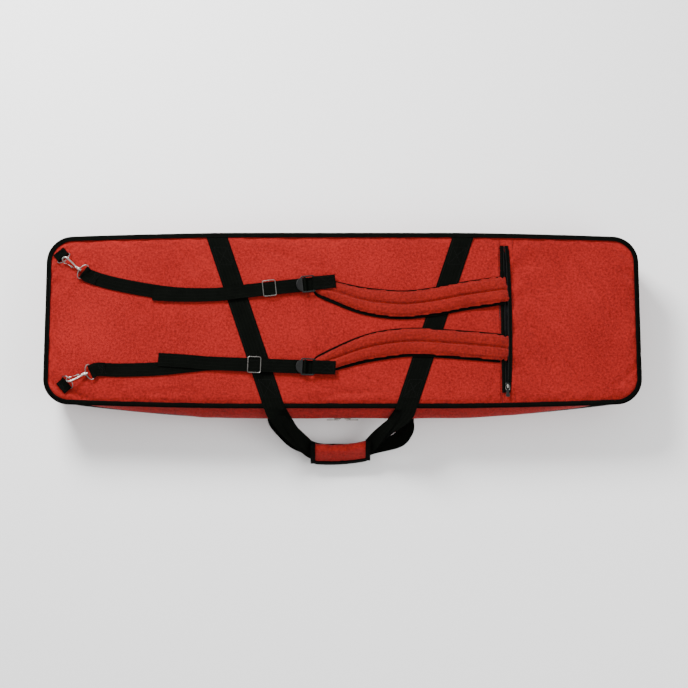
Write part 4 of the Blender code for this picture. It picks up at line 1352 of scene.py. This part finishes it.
def channels(obj, path, ways, tag):
    """Presses the seams into the stuffed cloth: one down the middle, puckered, and one near each edge."""
    points = coordinates(obj)
    line = np.array([tuple(p) for p in path])[:, :2]
    across = np.array([(-w.y, w.x) for w in ways])
    for i, p in enumerate(points):
        near = int(np.argmin(((line - p[:2]) ** 2).sum(axis=1)))
        v = float((p[:2] - line[near]) @ across[near])
        t = near / (len(path) - 1)
        half, low, high = pad_section(t)
        middle = (low + high) / 2
        pucker = 0.5 + 0.5 * noise_at(near * 0.9, v * 20, 1.0 if tag == "upper" else 4.0, 1.0)
        seam = 0.80 * bell(v / 0.0026) + 0.28 * bell(v / 0.0085)
        hem = 0.42 * bell((abs(v) - half + 0.0068) / 0.0022)
        ripple = 0.0007 * noise_at(p[0], p[1], 7.0, 60) * (1 - min(1.0, abs(v) / half) ** 4)
        if p[2] > middle:
            points[i, 2] = middle + (p[2] - middle) * (1 - (seam + hem) * (0.85 + 0.15 * pucker)) + ripple
        else:
            points[i, 2] = max(p[2], low)
    set_coordinates(obj, points)


def pad_underside(tag, path):
    """The strap's black mesh backing and edge tape, just wider than the stuffed top."""
    count = len(path) - 1
    start = int(count * 0.05)
    run, widths = [], []
    for i in range(start, count + 1):
        half, low, _ = pad_section(i / count)
        # Set 1.3 mm towards -Y so that its black shows along the lower edge only: partly the real black
        # underside, partly painted shade under the pad's lower edge.
        run.append(path[i] + Vector((0, -0.0013, low + 0.0005)))
        widths.append(2 * half + 0.0010)
    beyond = (path[-1] - path[-2]).normalized()
    for reach, share in ((0.004, 0.93), (0.007, 0.74), (0.0085, 0.45)):
        run.append(run[count - start] + beyond * reach)
        widths.append(widths[count - start] * share)
    obj = web(f"pad_backing_{tag}", run, widths, 0.0022, TAPE)
    placed(obj, f"pad_{tag}", "black_webbing")


def fold_path(bar, heading, radius, lower_run, upper_run, lower_z, upper_z):
    """Webbing folded round a bar: in along its underside, round, and back over the top."""
    path = [bar + heading * reach + UP * lower_z for reach in (lower_run, lower_run * 0.5 + 0.002)]
    path += [bar + (heading * -sin(a) + UP * -cos(a)) * radius for a in (pi * k / 8 for k in range(9))]
    return path + [bar + heading * reach + UP * upper_z for reach in (upper_run * 0.4 + 0.002, upper_run)]


def pad_tab(tag):
    bar, heading, axis = frame_of(tag)
    pad_top = PANEL_Z + 0.0108 - 0.0018
    lower = pad_top + 0.0010 - bar.z
    path = fold_path(bar, heading, FOLD_RADIUS, 0.030, 0.051, lower, lower + LAYER_STEP)
    path = smooth_path(path, 4)
    tab = web(f"pad_tab_web_{tag}", path, STRAP_WIDTH, 0.0015, BLACK, [axis] * len(path))
    lift = Vector((0, 0, lower + LAYER_STEP + THREAD_LIFT))
    lines = box_cross(bar + heading * 0.016, bar + heading * 0.046, axis * STRAP_BOX_HALF, lift)
    thread = stitches(f"pad_tab_stitches_{tag}", lines, *FINE_STITCH)
    for piece in (tab, thread):
        placed(piece, f"pad_{tag}", "black_webbing")
    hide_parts(f"pad_tab_{tag}")


def rounded_plate(name, loops, thickness, edge, finish, matrix):
    """A flat moulding with rounded edges: the first loop is its outline, and any others are holes."""
    curve = bpy.data.curves.new(name, "CURVE")
    curve.dimensions = "2D"
    curve.fill_mode = "BOTH"
    curve.extrude = thickness / 2 - edge
    curve.bevel_depth = edge
    curve.bevel_resolution = 2
    curve.offset = -edge
    for loop in loops:
        spline = curve.splines.new("POLY")
        spline.points.add(len(loop) - 1)
        for point, (x, y) in zip(spline.points, loop):
            point.co = (x, y, 0, 1)
        spline.use_cyclic_u = True
    obj = linked(name, curve)
    bpy.context.view_layer.update()
    mesh = bpy.data.meshes.new_from_object(obj.evaluated_get(bpy.context.evaluated_depsgraph_get()))
    bpy.data.objects.remove(obj)
    mesh.materials.clear()
    mesh.materials.append(finish)
    mesh.transform(matrix)
    shade_smooth(mesh, 40)
    return linked(name, mesh)


def rounded_loop(left, right, half, radius, turns=4):
    """A rectangle from left to right and half across each way, with rounded corners."""
    points = []
    for cx, cy, start in ((right, half, 0), (left, half, pi / 2), (left, -half, pi), (right, -half, -pi / 2)):
        for i in range(turns + 1):
            a = start + pi / 2 * i / turns
            sx = -radius if cx == right else radius
            sy = -radius if cy == half else radius
            points.append((cx + sx + radius * cos(a), cy + sy + radius * sin(a)))
    return points


def ladder_lock(tag):
    """The buckle: a rounded frame with two bars, gripping ribs, and a domed release tongue."""
    bar, heading, axis = frame_of(tag)
    turn = Matrix((heading, axis, UP)).transposed().to_4x4()
    matrix = Matrix.Translation(bar) @ turn
    half, slot_half = STRAP_WIDTH / 2 + 0.0043, STRAP_WIDTH / 2 + 0.0010
    body = rounded_loop(-0.0305, 0.0024, half, 0.0050)
    slots = [rounded_loop(*ends, slot_half, 0.0008) for ends in ((-0.0192, -0.0018), (-0.0262, -0.0222))]
    parts = [rounded_plate("frame", [body] + slots, 0.0034, 0.0009, PLASTIC, matrix)]
    tongue = [(-0.0285 - 0.0135 * cos(a), 0.0160 * sin(a)) for a in (pi / 2 * (k / 6 - 1) for k in range(13))]
    tongue = [(-0.0270, -0.0160)] + tongue + [(-0.0270, 0.0160)]
    tilt = Matrix.Translation((-0.0285, 0, 0)) @ Matrix.Rotation(radians(14), 4, "Y")
    tilt = tilt @ Matrix.Translation((0.0285, 0, 0))
    parts.append(rounded_plate("tongue", [tongue], 0.0024, 0.0007, PLASTIC, matrix @ tilt))
    for k in range(5):
        x = -0.0300 - 0.0022 * k
        reach = 0.0138 - 0.0020 * k
        z = 0.0015 + 0.00055 * k
        ridge = [matrix @ Vector((x, y, z)) for y in (-reach, -reach / 2, 0, reach / 2, reach)]
        parts.append(tube("ridge", ridge, 0.0006, PLASTIC, sides=8))
    for x, y_half in ((-0.0205, half - 0.004), (0.0, half - 0.004)):
        rib = [matrix @ Vector((x, y, 0.0016)) for y in (-y_half, -y_half / 2, 0, y_half / 2, y_half)]
        parts.append(tube("rib", rib, 0.0011, PLASTIC, sides=10))
    obj = merged(f"ladder_lock_moulding_{tag}", parts)
    placed(obj, f"buckle_{tag}", "black_plastic", f"ladder_lock_{tag}")


def strap_tail(tag, strap):
    """The free end: round the ladder bar, back over the main run, to a cut and heat-sealed end."""
    bar, heading, axis = frame_of(tag)
    turn = bar - heading * 0.0210
    radius = 0.0030
    low = turn.z - radius
    path = [turn + (heading * sin(a) + UP * cos(a)) * radius for a in (pi * k / 8 for k in range(-3, 7))]
    path.append(turn - heading * 0.004 + UP * -0.0031)
    for k, (x, y) in enumerate(reversed(strap["tail"])):
        drop = clamp((-0.200 - x) / 0.11)
        path.append(Vector((x, y, low - 0.0021 * drop + 0.0003 * (k % 2))))
    path = smooth_path(path, 6)
    sides = [axis]
    for way in tangents(path)[1:]:
        side = UP.cross(way)
        side = -side.normalized() if side.dot(axis) < 0 else side.normalized()
        sides.append(side if abs(way.z) < 0.25 else axis)
    obj = web(f"strap_tail_web_{tag}", path, STRAP_WIDTH - 0.0004, 0.0016, BLACK, sides)
    placed(obj, f"buckle_{tag}", "black_webbing", f"strap_tail_{tag}")


def hook_axes(tag):
    mouth = Vector(JOINTS[f"hook_swivel_{tag}"]["pos_m"])
    along = Vector(JOINTS[f"hook_swivel_{tag}"]["axis"]).normalized()
    pivot = Vector(JOINTS[f"gate_press_{tag}"]["pos_m"])
    across = (pivot - mouth) - along * (pivot - mouth).dot(along)
    return mouth, along, across.normalized(), pivot


def strap_run(tag, strap):
    """The main run: doubled back round the eye's bar, down to the panel, and on under the buckle."""
    mouth, along, _, _ = hook_axes(tag)
    bar = mouth + along * EYE_BAR
    level = Vector((along.x, along.y, 0)).normalized()
    lie = PANEL_Z + 0.0036
    start = at_height(bar, 0)
    flat = smooth_path([start, start + level * 0.016] + [(x, y, 0) for x, y in strap["web"]], 8)
    places = []
    travelled = 0.0
    for i, (p, way) in enumerate(zip(flat, tangents(flat))):
        travelled += (p - flat[i - 1]).length if i else 0.0
        places.append((p, Vector((-way.y, way.x, 0)), travelled))
    path, sides = [], []
    for p, side, s in reversed(places):
        if 0.003 < s < 0.036:
            drop = max(0.0, 1 - s / 0.018) ** 2
            z = lie + LAYER_STEP + (bar.z + FOLD_RADIUS - lie - LAYER_STEP) * drop
            path.append(at_height(p, z))
            sides.append(side)
    axis = places[0][1]
    for k in range(9):
        a = pi * k / 8
        path.append(bar + level * -sin(a) * FOLD_RADIUS + Vector((0, 0, cos(a) * FOLD_RADIUS)))
        sides.append(axis)
    for p, side, s in places:
        if s > 0.004:
            drop = max(0.0, 1 - s / 0.016) ** 2
            rise = clamp((p.x + 0.245) / 0.035)
            wave = 0.0002 * noise_at(p.x, p.y, 0, 30)
            z = lie + (bar.z - FOLD_RADIUS - lie) * drop + 0.0017 * rise + wave
            path.append(at_height(p, z))
            sides.append(side)
    obj = web(f"strap_run_web_{tag}", path, STRAP_WIDTH, 0.0016, BLACK, sides)
    lift = Vector((0, 0, lie + LAYER_STEP + THREAD_LIFT))
    ends = [at_height(p, 0) for p, _, s in places if 0.018 < s < 0.034]
    lines = box_cross(ends[0], ends[-1], axis * STRAP_BOX_HALF, lift)
    thread = stitches(f"strap_run_stitches_{tag}", lines, *FINE_STITCH)
    for piece in (obj, thread):
        placed(piece, f"run_{tag}", "black_webbing")
    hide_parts(f"strap_web_{tag}")


def snap_hook(tag):
    """A swivel snap: cast hook with a tapering bill, turned barrel and rivet, and a sprung gate."""
    mouth, along, across, pivot = hook_axes(tag)

    def at(a, b):
        return mouth + along * a + across * b

    curl = [at(0.0083 * cos(t), 0.0083 * sin(t)) for t in (radians(50 + 214 / 16 * i) for i in range(17))]
    shank = [at(0.0035 + 0.0070 * k, -0.0081 + 0.0019 * k) for k in range(1, 4)] + [at(0.0295, -0.0004)]
    path = smooth_path(curl + shank, 3)
    radii = [0.0012 + 0.0008 * min(1.0, i / 30) for i in range(len(path))]
    parts = [tube("bill", path, radii, STEEL, sides=14)]
    profile = [(0.0262, 0.0018), (0.0275, 0.0030), (0.0290, 0.0034), (0.0302, 0.0030), (0.0308, 0.0026),
               (0.0314, 0.0034), (0.0325, 0.0034), (0.0329, 0.0019), (0.0404, 0.0019), (0.0406, 0.0031),
               (0.0424, 0.0029), (0.0430, 0.0015)]
    parts.append(tube("barrel", [at(a, 0) for a, _ in profile], [r for _, r in profile], STEEL, sides=20))
    obj = merged(f"snap_hook_casting_{tag}", parts)
    placed(obj, f"hook_{tag}", "nickel_steel", f"snap_hook_{tag}")
    tip = at(0.0080, 0.0070)
    bolt = [pivot + (tip - pivot) * s for s in (0.07, 0.12, 0.35, 0.6, 0.9, 1.0)]
    parts = [tube("bolt", bolt, [0.0008, 0.0012, 0.0013, 0.0011, 0.0010, 0.0006], SHADE_DARK_NICKEL)]
    thumb = [bolt[2] + across * s for s in (0.0, 0.0016, 0.0026, 0.0034)]
    parts.append(tube("thumb", thumb, [0.0010, 0.0009, 0.0017, 0.0010], SHADE_DARK_NICKEL))
    gate = merged(f"hook_gate_bolt_{tag}", parts)
    placed(gate, f"gate_{tag}", "nickel_steel", f"hook_gate_{tag}")


def d_wire(bar, forward, across, half, depth, radius, name):
    """A D of round wire with soft corners."""
    path = [bar + across * half * s for s in (-0.86, -0.4, 0.0, 0.4, 0.86)]
    for i in range(19):
        a = pi * i / 18
        path.append(bar + across * half * cos(a) + forward * depth * (0.10 + 0.90 * sin(a) ** 0.8))
    return tube(name, path, radius, SHADE_DARK_NICKEL, closed=True)


def swivel_eye(tag):
    mouth, along, _, _ = hook_axes(tag)
    level_across = along.cross(UP).normalized()
    bar = mouth + along * EYE_BAR
    loop = d_wire(bar, -along, level_across, STRAP_WIDTH / 2 + 0.0025, 0.0135, 0.0012, "loop")
    profile = [(0.0332, 0.0024), (0.0336, 0.0040), (0.0350, 0.0045), (0.0385, 0.0045), (0.0397, 0.0038),
               (0.0399, 0.0024)]
    boss = tube("boss", [mouth + along * a for a, _ in profile], [r for _, r in profile], STEEL, sides=20)
    obj = merged(f"swivel_eye_casting_{tag}", [loop, boss])
    placed(obj, f"run_{tag}", "nickel_steel", f"swivel_eye_{tag}")


def corner_ring(tag, strap):
    """The sewn corner tab and the D-ring that it holds."""
    point = Vector((cos(strap["ring_heading"]), sin(strap["ring_heading"]), 0))
    bar = Vector(JOINTS[f"ring_tilt_{tag}"]["pos_m"])
    across = point.cross(UP)
    rising = (point * cos(radians(35)) + Vector((0, 0, sin(radians(35))))).normalized()
    ring = d_wire(bar, rising, across, 0.0172, 0.0155, 0.0011, f"d_ring_wire_{tag}")
    placed(ring, f"ring_{tag}", "nickel_steel", f"d_ring_{tag}")
    floor = PANEL_Z + 0.0012 - bar.z
    upper = floor + 0.0018
    path = fold_path(bar, -point, FOLD_RADIUS, 0.0190, 0.0185, floor, upper)
    path = smooth_path(path, 4)
    tab = web(f"corner_tab_web_{tag}", path, 0.0310, 0.0015, BLACK, [across] * len(path))
    lift = Vector((0, 0, upper + THREAD_LIFT))
    lines = box_cross(bar - point * 0.0060, bar - point * 0.0160, across * 0.0118, lift)
    thread = stitches(f"corner_tab_stitches_{tag}", lines, *FINE_STITCH)
    for piece in (tab, thread):
        placed(piece, "back_shell", "black_webbing")
    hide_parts(f"corner_tab_{tag}")


def tri_glide(tag):
    """The wire adjuster: a rounded rectangle over the webbing and a bar that dips under it."""
    low, high = (Vector(corner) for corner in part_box(f"strap_slider_{tag}"))
    centre = (low + high) / 2
    heading = Vector(JOINTS[f"glide_slide_{tag}"]["axis"])
    across = Vector((-heading.y, heading.x, 0))
    z = high.z - 0.0014
    base = at_height(centre, 0)
    corners = rounded_loop(-0.0150, 0.0150, 0.0186, 0.0040)
    loop = [base + heading * a + across * b + Vector((0, 0, z)) for a, b in corners]
    outer = tube("outer", loop, 0.0012, SHADE_DARK_NICKEL, closed=True)
    under = low.z + 0.0010
    bend = 0.0026
    angles = [pi / 12 * k for k in range(7)]
    turn = [(0.0186 - bend + bend * cos(a), under + bend - bend * sin(a)) for a in angles]
    dip = [(0.0186, z - 0.0004)] + turn + [(0.008, under), (0, under)]
    dip = dip + [(-b, h) for b, h in reversed(dip[:-1])]
    middle = tube("middle", [base + across * b + Vector((0, 0, h)) for b, h in dip], 0.0010, SHADE_DARK_NICKEL)
    obj = merged(f"tri_glide_wire_{tag}", [outer, middle])
    placed(obj, f"glide_{tag}", "nickel_steel", f"strap_slider_{tag}")


def shoulder_strap(tag, strap):
    pad(tag, strap)
    pad_tab(tag)
    ladder_lock(tag)
    strap_tail(tag, strap)
    strap_run(tag, strap)
    snap_hook(tag)
    swivel_eye(tag)
    corner_ring(tag, strap)
    tri_glide(tag)


# Studio


def studio():
    size = 40.0
    corners = [(-size, -size, 0), (size, -size, 0), (size, size, 0), (-size, size, 0)]
    floor = mesh_object("floor", corners, [(0, 1, 2, 3)], pale_floor())
    world = bpy.data.worlds.new("studio")
    bpy.context.scene.world = world
    world.use_nodes = True
    tree = world.node_tree
    way = node(tree, "ShaderNodeTexCoord").outputs["Generated"]
    height = node(tree, "ShaderNodeSeparateXYZ", None, {0: way}).outputs[2]
    inputs = {"Value": height, "From Min": -0.1, "From Max": 0.9, "To Min": 0.30, "To Max": 1.05}
    strength = node(tree, "ShaderNodeMapRange", None, inputs).outputs[0]
    feed(tree, tree.nodes["Background"], {"Strength": strength, "Color": (1, 1, 1, 1)})
    lamp("key", (-1.3, 2.0, 2.1), 1.1, 215)
    lamp("fill", (1.9, -0.9, 2.2), 1.8, 44)
    camera()


def pale_floor():
    made, tree = tree_of("pale_floor")
    surface(tree, {"Base Color": (0.95, 0.95, 0.95, 1), "Roughness": 0.9, "Specular IOR Level": 0.1})
    return made


def lamp(name, place, size, power):
    data = bpy.data.lights.new(name, "AREA")
    data.size = size
    data.energy = power
    obj = linked(name, data)
    obj.location = place
    obj.rotation_euler = (-Vector(place) + Vector((0, -0.05, 0.1))).to_track_quat("-Z", "Y").to_euler()


def camera():
    """Almost overhead, and a little to the handle side."""
    data = bpy.data.cameras.new("camera")
    distance, width, elevation = 3.75, 1.613, radians(80.5)
    data.sensor_width = 36
    data.lens = data.sensor_width * distance / width
    target = Vector((0.0035, -0.058, PANEL_Z))
    obj = linked("camera", data)
    obj.location = target + Vector((0, -cos(elevation), sin(elevation))) * distance
    obj.rotation_euler = (radians(90) - elevation, 0, 0)
    bpy.context.scene.camera = obj


panels()
for face in ("back", "front"):
    binding(face)
    wall(face)
    main_zip(face)
hinge_fold()
handle_webs()
grip()
pocket_zip()
sliders()
for label, data in STRAPS.items():
    shoulder_strap(label, data)
studio()

bpy.context.view_layer.update()
